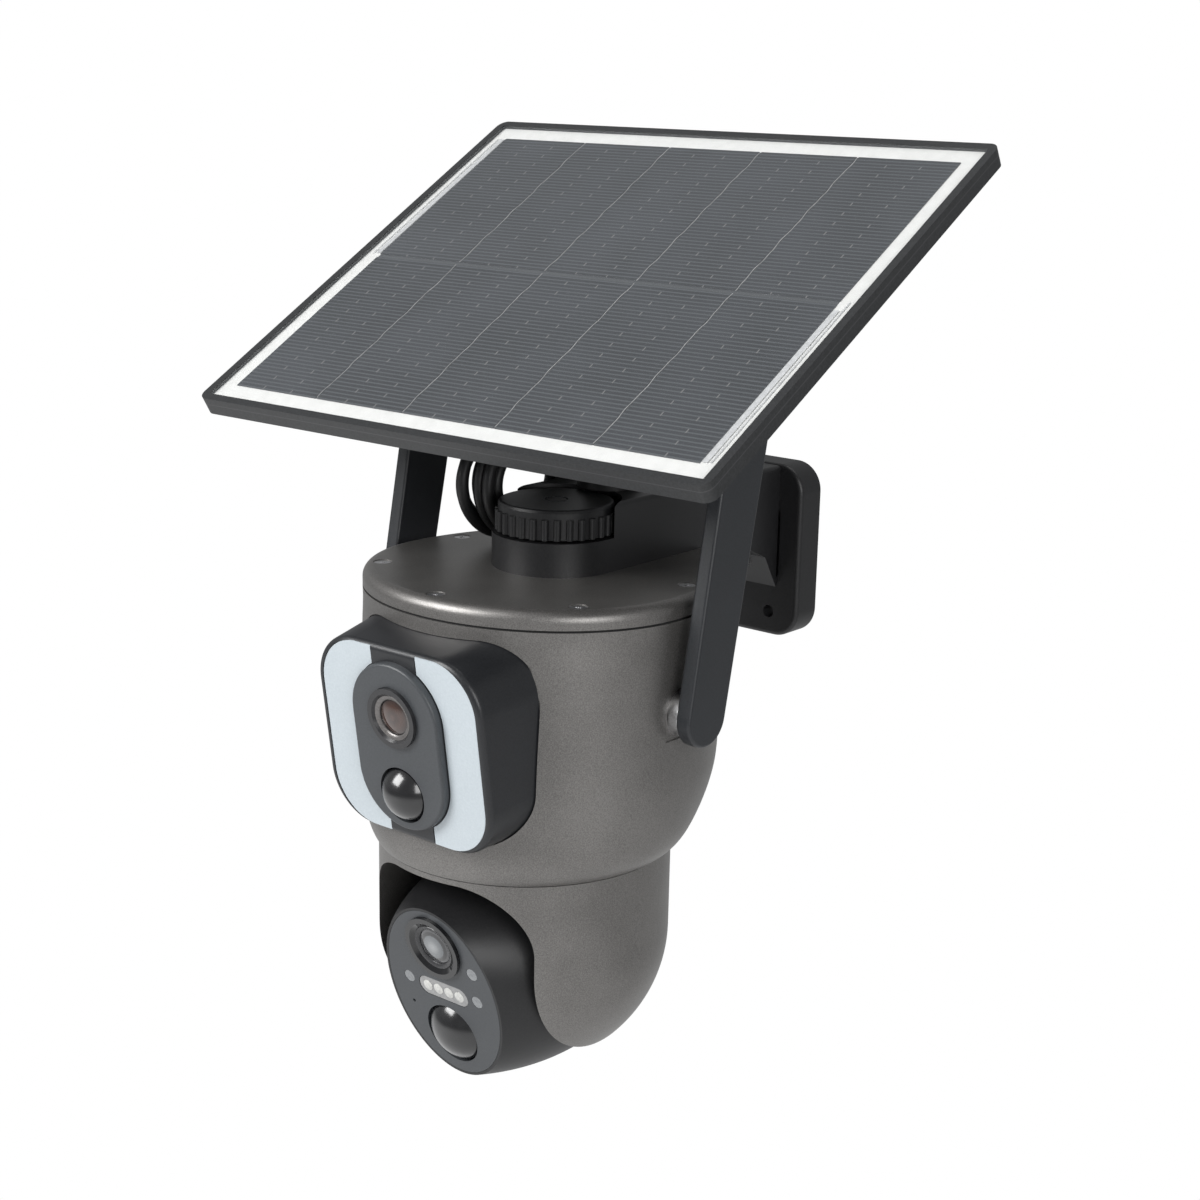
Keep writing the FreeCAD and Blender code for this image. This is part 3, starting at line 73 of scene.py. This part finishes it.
# %% Place the camera
VIEW_SPOT = (0.4756, -0.6743, 0.1847)
ROUND, RISE, LEAN = (math.radians(angle) for angle in (39.34, 14.48, 1.21))
back = Vector((math.sin(ROUND) * math.cos(RISE), -math.cos(ROUND) * math.cos(RISE), math.sin(RISE)))
right = Vector((math.cos(ROUND), math.sin(ROUND), 0))
up = back.cross(right)
lean_right = math.cos(LEAN) * right + math.sin(LEAN) * up
lean_up = back.cross(lean_right)
view = bpy.data.objects.new("view", bpy.data.cameras.new("view"))
view.data.lens = 62.5
view.data.sensor_width = 36
turn = Matrix((lean_right, lean_up, back)).transposed().to_4x4()
view.matrix_world = Matrix.Translation(VIEW_SPOT) @ turn
bpy.context.scene.collection.objects.link(view)
bpy.context.scene.camera = view
print("camera", [round(c, 3) for c in view.matrix_world.translation])

# %% [markdown]
# ## Finishes
# Each finish is a small node tree on the Principled shader. One noise at the size of the real
# grain shifts the colour, the roughness and the relief together, because on a moulded or painted
# surface all three come from the same bumps. A second, slow noise keeps broad faces from looking
# computed. Object coordinates are used throughout, so that a pattern has its true size.

# %% A helper for grained finishes
def link_nodes(tree, *pairs):
    """Join node sockets, each pair given as (from, to)."""
    for start, end in pairs:
        tree.links.new(start, end)


def blank_finish(name):
    """A material with its Principled shader and Object coordinates ready."""
    material = bpy.data.materials.new(name)
    material.use_nodes = True
    tree = material.node_tree
    shader = tree.nodes["Principled BSDF"]
    where = tree.nodes.new("ShaderNodeTexCoord").outputs["Object"]
    return material, tree, shader, where


def noise_of(tree, where, feature, detail=2.0):
    """Noise whose blobs are about one feature across, in metres."""
    noise = tree.nodes.new("ShaderNodeTexNoise")
    noise.inputs["Scale"].default_value = 1 / feature
    noise.inputs["Detail"].default_value = detail
    tree.links.new(where, noise.inputs["Vector"])
    return noise.outputs["Fac"]


def ramp_of(tree, factor, *stops):
    """A colour ramp from (place, colour) stops."""
    ramp = tree.nodes.new("ShaderNodeValToRGB")
    elements = ramp.color_ramp.elements
    for number, (place, colour) in enumerate(stops):
        element = elements[number] if number < 2 else elements.new(place)
        element.position = place
        element.color = (*colour, 1)
    tree.links.new(factor, ramp.inputs["Fac"])
    return ramp.outputs["Color"]


def set_shader(shader, **values):
    """Constants on the shader's own sockets; an underscore stands for a space."""
    for name, value in values.items():
        shader.inputs[name.replace("_", " ")].default_value = value


def grained(name, dark, light, grain, rough, relief=0.1, spread=0.06, **values):
    """Fine grain in colour, roughness and relief, from one noise."""
    material, tree, shader, where = blank_finish(name)
    fine = noise_of(tree, where, grain)
    slow = noise_of(tree, where, 60 * grain)
    both = tree.nodes.new("ShaderNodeMix")
    both.inputs["Factor"].default_value = 0.25
    ranged = tree.nodes.new("ShaderNodeMapRange")
    ranged.inputs["To Min"].default_value = rough - spread
    ranged.inputs["To Max"].default_value = rough + spread
    bump = tree.nodes.new("ShaderNodeBump")
    bump.inputs["Strength"].default_value = relief
    bump.inputs["Distance"].default_value = grain / 4
    link_nodes(tree, (fine, both.inputs["A"]), (slow, both.inputs["B"]),
               (both.outputs["Result"], ranged.inputs["Value"]),
               (ranged.outputs["Result"], shader.inputs["Roughness"]),
               (fine, bump.inputs["Height"]), (bump.outputs["Normal"], shader.inputs["Normal"]))
    colour = ramp_of(tree, both.outputs["Result"], (0.35, dark), (0.65, light))
    tree.links.new(colour, shader.inputs["Base Color"])
    set_shader(shader, **values)
    return material


# %% [markdown]
# ## Painted shell, moulded plastics and metals
# The shells are sprayed in a warm gunmetal with fine metallic flecks. The module and the ball are
# moulded in charcoal with a satin mould texture, the fittings in black, and the sensor domes and
# trims are polished black. The metals differ in how bright and how brushed they are.

# %% Paints, plastics and metals
gunmetal = grained("gunmetal_paint", (0.155, 0.149, 0.143), (0.262, 0.253, 0.243), 0.0004, 0.40,
                   relief=0.08, Metallic=0.75, Coat_Weight=0.15, Coat_Roughness=0.3)
charcoal = grained("charcoal_satin", (0.013, 0.014, 0.016), (0.021, 0.022, 0.025), 0.0005, 0.36)
face_satin = grained("face_satin", (0.048, 0.052, 0.057), (0.062, 0.067, 0.073), 0.0005, 0.40)
black = grained("black_plastic", (0.008, 0.008, 0.009), (0.014, 0.014, 0.015), 0.0006, 0.42)
antenna_satin = grained("antenna_satin", (0.017, 0.019, 0.022), (0.026, 0.028, 0.032), 0.0005, 0.38)
polished = grained("polished_black", (0.004, 0.004, 0.005), (0.007, 0.007, 0.008), 0.002, 0.10,
                   relief=0.0, spread=0.02, Coat_Weight=0.6, Coat_Roughness=0.04)
dome_black = grained("sensor_dome", (0.006, 0.006, 0.007), (0.010, 0.010, 0.011), 0.003, 0.22,
                     relief=0.0, spread=0.03, Coat_Weight=1.0, Coat_Roughness=0.14)
ring_satin = grained("lens_ring", (0.020, 0.020, 0.022), (0.034, 0.034, 0.036), 0.0006, 0.30)
steel = grained("steel", (0.60, 0.60, 0.61), (0.78, 0.78, 0.79), 0.0005, 0.34, Metallic=1.0)
zinc = grained("zinc", (0.34, 0.34, 0.34), (0.46, 0.46, 0.46), 0.0010, 0.42, Metallic=1.0)
rubber = grained("seal_rubber", (0.006, 0.006, 0.006), (0.010, 0.010, 0.010), 0.0006, 0.75)
sheath = grained("lead_sheath", (0.010, 0.010, 0.011), (0.017, 0.017, 0.018), 0.0008, 0.45)
acetal = grained("white_acetal", (0.72, 0.72, 0.68), (0.82, 0.82, 0.78), 0.0010, 0.45)
frosted = grained("frosted_bar", (0.50, 0.555, 0.59), (0.55, 0.605, 0.64), 0.0007, 0.45,
                  relief=0.04, Coat_Weight=0.25, Coat_Roughness=0.3)
wrap = grained("cell_wrap", (0.03, 0.10, 0.30), (0.05, 0.14, 0.38), 0.0020, 0.35)
window_grey = grained("window_grey", (0.22, 0.22, 0.22), (0.30, 0.30, 0.30), 0.0020, 0.20,
                      relief=0.0, spread=0.03, Coat_Weight=0.8, Coat_Roughness=0.08)
cap_grey = grained("indicator_cap", (0.16, 0.17, 0.18), (0.24, 0.25, 0.26), 0.0010, 0.20,
                   relief=0.0, spread=0.03, Coat_Weight=0.8, Coat_Roughness=0.08)
zinc_grey = grained("lens_trim_grey", (0.16, 0.15, 0.145), (0.22, 0.21, 0.205), 0.0006, 0.34, Metallic=0.6)
zinc_dark = grained("lens_trim_dark", (0.03, 0.03, 0.032), (0.05, 0.05, 0.053), 0.0006, 0.25)
lamp_white = grained("lamp_lens", (0.50, 0.50, 0.48), (0.66, 0.66, 0.63), 0.0010, 0.15,
                     relief=0.0, spread=0.03, Coat_Weight=0.8, Coat_Roughness=0.05)
ribbon_silver = grained("ribbon_silver", (0.60, 0.61, 0.62), (0.74, 0.75, 0.76), 0.0015, 0.35, Metallic=0.3)
wire_grey = grained("wire_grey", (0.20, 0.20, 0.20), (0.34, 0.34, 0.34), 0.0030, 0.4)
print("finishes", len(bpy.data.materials))

# %% [markdown]
# ## Lens glass
# Seen from outside, a lens is a dark pupil inside pale reflections of its own inner rings. Both are
# painted here: the distance from the lens centre, sent through a colour ramp, paints the shaded pupil
# and the reflected rings into the colour of the glass. A smooth clear coat adds the outer reflection.

# %% Painted shade and reflection rings round a centre
def lens_painted_rings(name, centre, radius, *stops):
    """Painted shade and reflection rings round a centre point: the ramp runs from the centre to the radius.
    """
    material, tree, shader, where = blank_finish(name)
    away = tree.nodes.new("ShaderNodeVectorMath")
    away.operation = "DISTANCE"
    away.inputs[1].default_value = centre
    share = tree.nodes.new("ShaderNodeMath")
    share.operation = "DIVIDE"
    share.inputs[1].default_value = radius
    link_nodes(tree, (where, away.inputs[0]), (away.outputs["Value"], share.inputs[0]))
    tree.links.new(ramp_of(tree, share.outputs[0], *stops), shader.inputs["Base Color"])
    set_shader(shader, Roughness=0.08, Coat_Weight=1.0, Coat_Roughness=0.03)
    return material


def middle_of(name):
    """The centre of a part's box at rest."""
    low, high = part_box(name)
    return (low + high) / 2


# Brown lens: its darkest middle is the painted shade of the pupil, and the brighter brown rings are painted
# reflections.
BROWN, DARK_BROWN, SHADED_PUPIL = (0.060, 0.030, 0.022), (0.030, 0.014, 0.010), (0.012, 0.006, 0.005)
brown_glass = lens_painted_rings("brown_glass", middle_of("module_lens_glass"), 0.0065, (0.0, SHADED_PUPIL),
                          (0.22, DARK_BROWN), (0.26, BROWN), (0.34, DARK_BROWN), (0.62, BROWN),
                          (0.90, (0.040, 0.024, 0.020)), (0.97, (0.006, 0.005, 0.005)))
# Grey lens: its pale ring is a painted reflection.
PALE_REFLECTION, MID, DARK = (0.30, 0.31, 0.32), (0.17, 0.18, 0.19), (0.02, 0.02, 0.022)
grey_glass = lens_painted_rings("grey_glass", middle_of("eye_lens_glass"), 0.0071, (0.0, MID), (0.25, PALE_REFLECTION),
                         (0.45, MID), (0.66, (0.12, 0.13, 0.14)), (0.70, DARK), (0.84, DARK),
                         (0.88, (0.07, 0.07, 0.075)))

# %% [markdown]
# ## The circuit boards
# Nobody sees these with the lid on, but a part that can be opened deserves a board that reads as
# one: green solder mask with the tracks of copper showing through. A brick texture gives straight
# tracks at right angles without a drawing.

# %% Circuit board finish
board, tree, shader, where = blank_finish("circuit_board")
tracks = tree.nodes.new("ShaderNodeTexBrick")
tracks.inputs["Scale"].default_value = 220
tracks.inputs["Color1"].default_value = (0.010, 0.070, 0.025, 1)
tracks.inputs["Color2"].default_value = (0.014, 0.100, 0.035, 1)
tracks.inputs["Mortar"].default_value = (0.060, 0.200, 0.060, 1)
tracks.inputs["Mortar Size"].default_value = 0.04
link_nodes(tree, (where, tracks.inputs["Vector"]), (tracks.outputs["Color"], shader.inputs["Base Color"]))
set_shader(shader, Roughness=0.35, Coat_Weight=0.5)

# %% [markdown]
# ## The solar panel's own directions
# The panel leans on its hinge, so its patterns are made in the panel's own directions. A Mapping
# node of the Texture kind undoes the lean: after it, x runs across the panel, y runs up its slope
# and z stands off it, all still in metres.

# %% Coordinates that lean with the panel
PANEL_LEAN = math.radians(30.6)
PANEL_PIN = Vector((0, -0.0900, 0.08685))
panel_place = Matrix.Translation(PANEL_PIN) @ Matrix.Rotation(PANEL_LEAN, 4, "X")


def panel_axes(tree, where):
    """The panel's own x, y and z as three sockets."""
    mapping = tree.nodes.new("ShaderNodeMapping")
    mapping.vector_type = "TEXTURE"
    mapping.inputs["Location"].default_value = PANEL_PIN
    mapping.inputs["Rotation"].default_value = (PANEL_LEAN, 0, 0)
    split = tree.nodes.new("ShaderNodeSeparateXYZ")
    link_nodes(tree, (where, mapping.inputs["Vector"]), (mapping.outputs["Vector"], split.inputs["Vector"]))
    return split.outputs["X"], split.outputs["Y"], split.outputs["Z"]


def sum_of(tree, kind, first, second):
    """One Math node; either side may be a socket or a number."""
    node = tree.nodes.new("ShaderNodeMath")
    node.operation = kind
    for place, value in enumerate((first, second)):
        if isinstance(value, bpy.types.NodeSocket):
            tree.links.new(value, node.inputs[place])
        else:
            node.inputs[place].default_value = value
    return node.outputs[0]


def lines_of(tree, along, step, wide):
    """1 on lines that repeat every step, and 0 between them."""
    share = sum_of(tree, "FRACT", sum_of(tree, "DIVIDE", along, step), 0)
    return sum_of(tree, "LESS_THAN", share, wide / step)


def mixed(tree, factor, first, second):
    """Blend two colours, each a socket or a tuple, by a factor socket."""
    mix = tree.nodes.new("ShaderNodeMix")
    mix.data_type = "RGBA"
    tree.links.new(factor, mix.inputs[0])
    for place, value in ((6, first), (7, second)):
        if isinstance(value, bpy.types.NodeSocket):
            tree.links.new(value, mix.inputs[place])
        else:
            mix.inputs[place].default_value = (*value, 1)
    return mix.outputs[2]


# %% [markdown]
# ## Silicon under glass
# A cell is nearly black with a blue cast. Grey finger lines cross it every two millimetres, drawn
# wider and fainter than the real silver ones, and they make a cell look grey from a slant. Two rows
# of pads run the other way on every strip. The lines are drawn by taking the remainder of y.

# %% Solar cell finish
silicon, tree, shader, where = blank_finish("silicon_cells")
across, along, off = panel_axes(tree, where)
tint = ramp_of(tree, noise_of(tree, where, 0.03), (0.35, (0.022, 0.025, 0.030)), (0.7, (0.030, 0.034, 0.042)))
FINGER_STEP = 0.0020
FINGER_WIDE = 0.0007
STRIP_STEP = 0.0423
PAD_STEP = 0.0060
PAD_WIDE = 0.0005
fingers = lines_of(tree, along, FINGER_STEP, FINGER_WIDE)
pad_rows = lines_of(tree, sum_of(tree, "ADD", across, 10.5 * STRIP_STEP / 3), STRIP_STEP / 3, PAD_WIDE)
pads = sum_of(tree, "MULTIPLY", pad_rows, lines_of(tree, along, PAD_STEP, PAD_STEP / 3))
lined = mixed(tree, fingers, tint, (0.070, 0.077, 0.085))
tree.links.new(mixed(tree, pads, lined, (0.16, 0.16, 0.16)), shader.inputs["Base Color"])
set_shader(shader, Roughness=0.35, Coat_Weight=0.6, Coat_Roughness=0.15)

# %% [markdown]
# ## The sheet behind the cells
# The sheet is white where it frames the cells. Between the strips it is hidden by the dark glue
# that holds them, so the same sheet turns dark inside the field of cells.

# %% Backsheet finish
white_sheet, tree, shader, where = blank_finish("white_backsheet")
across, along, off = panel_axes(tree, where)
FIELD_HALF_X = 0.1053
FIELD_HALF_Y = 0.0840
in_x = sum_of(tree, "LESS_THAN", sum_of(tree, "ABSOLUTE", across, 0), FIELD_HALF_X)
in_y = sum_of(tree, "LESS_THAN", sum_of(tree, "ABSOLUTE", along, 0), FIELD_HALF_Y)
paper = ramp_of(tree, noise_of(tree, where, 0.004), (0.3, (0.78, 0.78, 0.76)), (0.7, (0.84, 0.84, 0.82)))
glued = mixed(tree, sum_of(tree, "MULTIPLY", in_x, in_y), paper, (0.040, 0.044, 0.050))
tree.links.new(glued, shader.inputs["Base Color"])
set_shader(shader, Roughness=0.4, Coat_Weight=0.6, Coat_Roughness=0.15)

clear_glass, tree, shader, where = blank_finish("panel_glass")
smear = ramp_of(tree, noise_of(tree, where, 0.03), (0.3, (0.55, 0.58, 0.60)), (0.7, (0.62, 0.65, 0.67)))
tree.links.new(smear, shader.inputs["Base Color"])
set_shader(shader, Roughness=0.08, Alpha=0.05)

# %% [markdown]
# ## A groove in the panel's frame
# The plastic frame is moulded in two halves, and a fine groove runs round its edge where they
# meet. It is less than half a millimetre wide, so it is shown as a painted highlight: a paler line in the
# finish.

# %% Panel frame finish
frame_edge, tree, shader, where = blank_finish("panel_frame")
across, along, off = panel_axes(tree, where)
grain = noise_of(tree, where, 0.0008)
skin = ramp_of(tree, grain, (0.35, (0.020, 0.021, 0.022)), (0.65, (0.030, 0.031, 0.033)))
# A thin band at the groove is painted paler, as a highlight on its edges.
above = sum_of(tree, "GREATER_THAN", off, 0.0262)
below = sum_of(tree, "LESS_THAN", off, 0.0266)
groove_highlight = sum_of(tree, "MULTIPLY", above, below)
tree.links.new(mixed(tree, groove_highlight, skin, (0.05, 0.05, 0.053)), shader.inputs["Base Color"])
bump = tree.nodes.new("ShaderNodeBump")
bump.inputs["Strength"].default_value = 0.1
bump.inputs["Distance"].default_value = 0.0002
link_nodes(tree, (grain, bump.inputs["Height"]), (bump.outputs["Normal"], shader.inputs["Normal"]))
set_shader(shader, Roughness=0.40)

# %% [markdown]
# ## Dressing the imported parts
# Every part of the frame gets its finish through its own material slot; its mesh is left alone.
# The imported model names a slot for each part, so most of them follow from one table, and a second
# table names the parts that differ from their neighbours.

# %% Give each part its finish
FINISHES = {
    "housing_grey": gunmetal, "dark_grey": charcoal, "black_plastic": black,
    "frame_black": frame_edge, "gloss_black": polished, "sensor_dome": dome_black,
    "lens_ring": ring_satin, "lens_glass": brown_glass, "light_bar": frosted,
    "clear_led": cap_grey, "steel": steel, "seal_rubber": rubber, "cord_black": sheath,
    "board_green": board, "cell_wrap": wrap, "motor_metal": zinc, "gear_white": acetal,
    "backsheet_white": white_sheet, "solar_cell": silicon, "panel_glass": clear_glass,
}
SPECIAL = {
    "module_plate": face_satin, "eye_face": face_satin, "eye_lens_glass": grey_glass,
    "antenna_left": antenna_satin, "antenna_right": antenna_satin, "eye_lens_ring": polished,
    "eye_window": window_grey,
}
for name, part in nodes.items():
    for place, old in enumerate(part.data.materials):
        slot_name = old.name.split(".")[0]
        part.data.materials[place] = SPECIAL.get(name) or FINISHES[slot_name]
print("dressed", len(nodes), "parts")

# %% [markdown]
# ## The panel's lead
# One metre of thin black cable joins the panel to the camera. The spare length hangs on a hook
# beside the arm, wound in six and a half turns. The line is a NURBS curve: the two runs are a few
# points each, listed one by one, and the turns come from a loop, because a coil is the same move again
# and again. Three turns lie side by side, then the lead climbs inwards and comes back over them.

# %% The lead's points
LEAD_DOWN = [(-41.9, -90.0, 86.85), (-48.0, -90.0, 86.85), (-53.6, -89.9, 84.5),
             (-57.9, -89.8, 80.2), (-60.2, -89.7, 74.6), (-60.2, -89.6, 67.6),
             (-57.2, -90.4, 60.6), (-51.6, -92.8, 55.8), (-44.7, -96.6, 53.9)]
LEAD_AWAY = [(-41.2, -93.5, 16.8), (-40.9, -85.9, 17.9),
             (-40.2, -78.0, 18.6), (-39.2, -70.2, 18.9), (-38.3, -63.4, 18.7),
             (-37.9, -57.4, 16.3), (-37.8, -52.8, 11.8), (-37.8, -50.3, 5.8),
             (-37.8, -50.3, -0.7)]
LEAD_THICK = 4.6
COIL_TURNS = 6.5
TURN_POINTS = 16
COIL_MIDDLE = Vector((-36.5, -105.5, 34.0))
COIL_HALF_Y = 26.2
COIL_HALF_Z = 21.5
COIL_DRIFT = 5.0
STEP_STARTS = 0.7
coil_points = []
for step in range(int(COIL_TURNS * TURN_POINTS) + 1):
    turns = step / TURN_POINTS
    # the lead moves over to its next place in the last part of each turn
    settle = min(max((turns % 1 - STEP_STARTS) / (1 - STEP_STARTS), 0), 1)
    settle = settle * settle * (3 - 2 * settle)
    place = int(turns) + settle
    if place < 3:
        column = min(place, 2)
    else:
        column = min(5 - place, 2)
    inward = min(max(place - 2, 0), 1) * LEAD_THICK
    angle = math.tau * turns
    drift = COIL_DRIFT * min(turns, COIL_TURNS - turns, 1)
    coil_points.append((COIL_MIDDLE.x + column * LEAD_THICK,
                        COIL_MIDDLE.y + drift - (COIL_HALF_Y - inward) * math.sin(angle),
                        COIL_MIDDLE.z + (COIL_HALF_Z - inward) * math.cos(angle)))
print("coil points", len(coil_points), "ends", coil_points[0], coil_points[-1])

# %% Lay the lead
line = bpy.data.curves.new("panel_lead", "CURVE")
line.dimensions = "3D"
spline = line.splines.new("NURBS")
route = LEAD_DOWN + coil_points + LEAD_AWAY
spline.points.add(len(route) - 1)
for point, spot in zip(spline.points, route):
    point.co = (*(c * MM for c in spot), 1)
spline.order_u = 3
spline.use_endpoint_u = True
line.bevel_depth = LEAD_THICK / 2 * MM
line.bevel_resolution = 5
line.resolution_u = 6
line.use_fill_caps = True
line.materials.append(sheath)
lead = bpy.data.objects.new("panel_lead", line)
bpy.context.scene.collection.objects.link(lead)
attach(lead, "bracket")
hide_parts("lead_to_coil", "lead_to_head", "lead_coil")

# %% [markdown]
# ## Making small pieces
# The fittings are modelled in place with bmesh. A short helper moves the finished bmesh from its own
# directions into the whole, points its faces outwards, and makes the object with its finish and
# the body that it rides on. A second one spins a closed outline of (radius, height) corners
# round Z, which is how every ring and dome here begins.

# %% Helpers for pieces
MODULE_PLACE = Matrix.Translation((0, -0.1978, -0.0407)) @ Matrix.Rotation(math.radians(8.5), 4, "X")
EYE_PLACE = Matrix.Translation((0, -0.1345, -0.1330)) @ Matrix.Rotation(math.radians(15), 4, "X")
FACE_TURN = Matrix.Rotation(math.radians(90), 4, "X")


def make_piece(name, bm, body, finish, place):
    """Turn a bmesh in millimetres into a finished piece on its body."""
    bmesh.ops.remove_doubles(bm, verts=bm.verts, dist=1e-4)
    bmesh.ops.transform(bm, verts=bm.verts, matrix=place @ Matrix.Scale(MM, 4))
    bmesh.ops.recalc_face_normals(bm, faces=bm.faces)
    mesh = bpy.data.meshes.new(name)
    bm.to_mesh(mesh)
    bm.free()
    mesh.polygons.foreach_set("use_smooth", [True] * len(mesh.polygons))
    mesh.set_sharp_from_angle(angle=math.radians(35))
    mesh.materials.append(finish)
    piece = bpy.data.objects.new(name, mesh)
    bpy.context.scene.collection.objects.link(piece)
    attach(piece, body)
    print(name, "faces", len(mesh.polygons))
    return piece


def add_spun(bm, outline, centre=(0, 0, 0), turn=Matrix.Identity(4), steps=48):
    """Spin a closed outline of (radius, height) round Z, then turn it and move it."""
    corners = [bm.verts.new((radius, 0, height)) for radius, height in outline]
    edges = [bm.edges.new(pair) for pair in zip(corners, corners[1:] + corners[:1])]
    bmesh.ops.spin(bm, geom=corners + edges, cent=(0, 0, 0), axis=(0, 0, 1),
                   angle=math.tau, steps=steps, use_merge=True)
    fresh = [vert for vert in bm.verts if not vert.tag]
    bmesh.ops.transform(bm, verts=fresh, matrix=Matrix.Translation(centre) @ turn)
    for vert in fresh:
        vert.tag = True


# %% [markdown]
# ## Lens trims
# A lens sits behind stepped rings: a dark mouth, a thin groove, a grey metal ring and the glass.
# Each ring is one outline spun round the lens axis. The face of the module looks along -Y, so the
# spun ring is turned by a quarter first.

# %% Spin the lens trims
MODULE_LENS = (0, -2.8, 11.5)
EYE_LENS = (0, -43.0, 25.7)
bm = bmesh.new()
add_spun(bm, [(6.45, -0.6), (7.9, -0.6), (8.2, 0.35), (8.0, 0.55), (6.9, 0.30), (6.45, -0.1)], MODULE_LENS,
         FACE_TURN)
make_piece("module_lens_trim", bm, "head", zinc_grey, MODULE_PLACE)
bm = bmesh.new()
add_spun(bm, [(7.0, -0.8), (8.4, -0.8), (8.8, 0.2), (8.6, 0.4), (7.4, 0.1), (7.0, -0.3)], EYE_LENS, FACE_TURN)
make_piece("eye_lens_trim", bm, "eye", zinc_dark, EYE_PLACE)

# %% [markdown]
# ## The light window
# Four small lamps sit in a row behind a clear stadium window. Each is a low dome on a ring. The
# four are one piece, because they are alike and never come apart.

# %% Spin the four lamps
bm = bmesh.new()
for number in range(4):
    spot = ((number - 1.5) * 5.1, -42.75, 6.4)
    add_spun(bm, [(0.0, 0.0), (2.15, 0.0), (2.15, 0.15), (1.9, 0.2), (1.5, 0.32), (0.8, 0.46), (0.0, 0.5)],
             spot, FACE_TURN, 24)
make_piece("window_lamps", bm, "eye", lamp_white, EYE_PLACE)

# %% [markdown]
# ## The knob's mark
# A shallow ring is pressed into the top of the clamp knob. It is spun as a fine raised bead.

# %% Spin the knob's ring
KNOB_AXIS_Y = -119.85
knob_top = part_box("clamp_knob")[1].z / MM
bm = bmesh.new()
add_spun(bm, [(4.3, -0.1), (5.3, -0.1), (5.2, 0.10), (4.4, 0.10)],
         (0, KNOB_AXIS_Y, knob_top - 0.02))
make_piece("knob_ring", bm, "knob", antenna_satin, Matrix.Identity(4))

# %% [markdown]
# ## Silver ribbons on the panel
# Flat silver ribbons join the strips of cells. One lies on the left of the back row and one on
# the right of the front row, and a finer wavy wire runs down every gap between two strips. Each
# starts as a grid, which is stretched, bent with a sine and given a thickness.

# %% Lay the ribbons and wires
CELL_TOP = 28.03
BAND_THICK = 0.06
LONG_WAVE = 0.33
SHORT_WAVE = 0.71


def add_band(bm, x, y_from, y_to, wide, wave, level, parts=60):
    """A flat band along y, wavy in x, as a thin solid."""
    made = bmesh.ops.create_grid(bm, x_segments=1, y_segments=parts, size=0.5)["verts"]
    for vert in made:
        y = y_from + (vert.co.y + 0.5) * (y_to - y_from)
        bend = wave * (math.sin(LONG_WAVE * y + x) + 0.5 * math.sin(SHORT_WAVE * y + 2 * x))
        vert.co = (x + vert.co.x * wide + bend, y, level)
    faces = list({face for vert in made for face in vert.link_faces})
    bmesh.ops.solidify(bm, geom=faces, thickness=BAND_THICK)


bm = bmesh.new()
add_band(bm, -106.9, 1.5, 83.5, 2.2, 0, CELL_TOP)
add_band(bm, 106.9, -83.5, -4.0, 2.2, 0, CELL_TOP)
add_band(bm, 109.2, -83.5, 1.0, 0.5, 0, CELL_TOP)
add_band(bm, -109.2, 1.0, 83.5, 0.5, 0, CELL_TOP)
make_piece("panel_ribbons", bm, "panel", ribbon_silver, panel_place)
bm = bmesh.new()
for number in range(4):
    for y_from, y_to in ((-83.5, -0.8), (0.8, 83.5)):
        add_band(bm, (number - 1.5) * STRIP_STEP / MM, y_from, y_to, 0.32, 0.22, CELL_TOP)
make_piece("strip_wires", bm, "panel", wire_grey, panel_place)

# %% [markdown]
# ## The floor and the light
# A pale floor lies well below the camera, so that its shadow falls out of view. One large soft
# light stands on the left in front, a smaller one on the right fills, a weak one above lifts the
# top, and a dim even sky does the rest. The lens itself sees the floor and the sky as plain white.

# %% Floor, sky and lamps
FLOOR_DROP = 0.45
FLOOR_HALF = 12
LAMPS = (("key", (-0.9, -1.5, 1.0), 38, 1.1), ("fill", (1.5, -0.9, 0.5), 13, 0.9),
         ("top", (0.1, 0.3, 1.6), 5, 0.8))
bm = bmesh.new()
bmesh.ops.create_grid(bm, x_segments=1, y_segments=1, size=FLOOR_HALF)
bmesh.ops.translate(bm, verts=bm.verts, vec=(0, 0, cad_box[0][2] - FLOOR_DROP))
mesh = bpy.data.meshes.new("floor")
bm.to_mesh(mesh)
bm.free()
floor = bpy.data.objects.new("floor", mesh)
bpy.context.scene.collection.objects.link(floor)
pale = grained("pale_floor", (0.78, 0.78, 0.78), (0.82, 0.82, 0.82), 0.05, 0.9, relief=0.0)
floor.data.materials.append(pale)


def seen_white(tree, dim, out):
    """What the lens sees directly is white; what lights the pieces is the dim shader."""
    white = tree.nodes.new("ShaderNodeEmission" if out == "Material Output" else "ShaderNodeBackground")
    white.inputs["Color"].default_value = (1, 1, 1, 1)
    white.inputs["Strength"].default_value = 1.0
    either = tree.nodes.new("ShaderNodeMixShader")
    path = tree.nodes.new("ShaderNodeLightPath")
    link_nodes(tree, (path.outputs["Is Camera Ray"], either.inputs["Fac"]), (dim, either.inputs[1]),
               (white.outputs[0], either.inputs[2]), (either.outputs[0], tree.nodes[out].inputs["Surface"]))


seen_white(pale.node_tree, pale.node_tree.nodes["Principled BSDF"].outputs[0], "Material Output")

world = bpy.data.worlds.new("studio")
world.use_nodes = True
sky = world.node_tree.nodes["Background"]
sky.inputs["Color"].default_value = (0.97, 0.985, 1.0, 1)
sky.inputs["Strength"].default_value = 0.30
seen_white(world.node_tree, sky.outputs[0], "World Output")
bpy.context.scene.world = world
bpy.context.scene.view_settings.view_transform = "Standard"

for name, spot, power, wide in LAMPS:
    lamp = bpy.data.lights.new(name, "AREA")
    lamp.energy = power
    lamp.size = wide
    item = bpy.data.objects.new(name, lamp)
    item.location = spot
    aim = Vector((0, -0.12, 0)) - Vector(spot)
    item.rotation_euler = aim.to_track_quat("-Z", "Y").to_euler()
    bpy.context.scene.collection.objects.link(item)
print("lamps", len(bpy.data.lights))
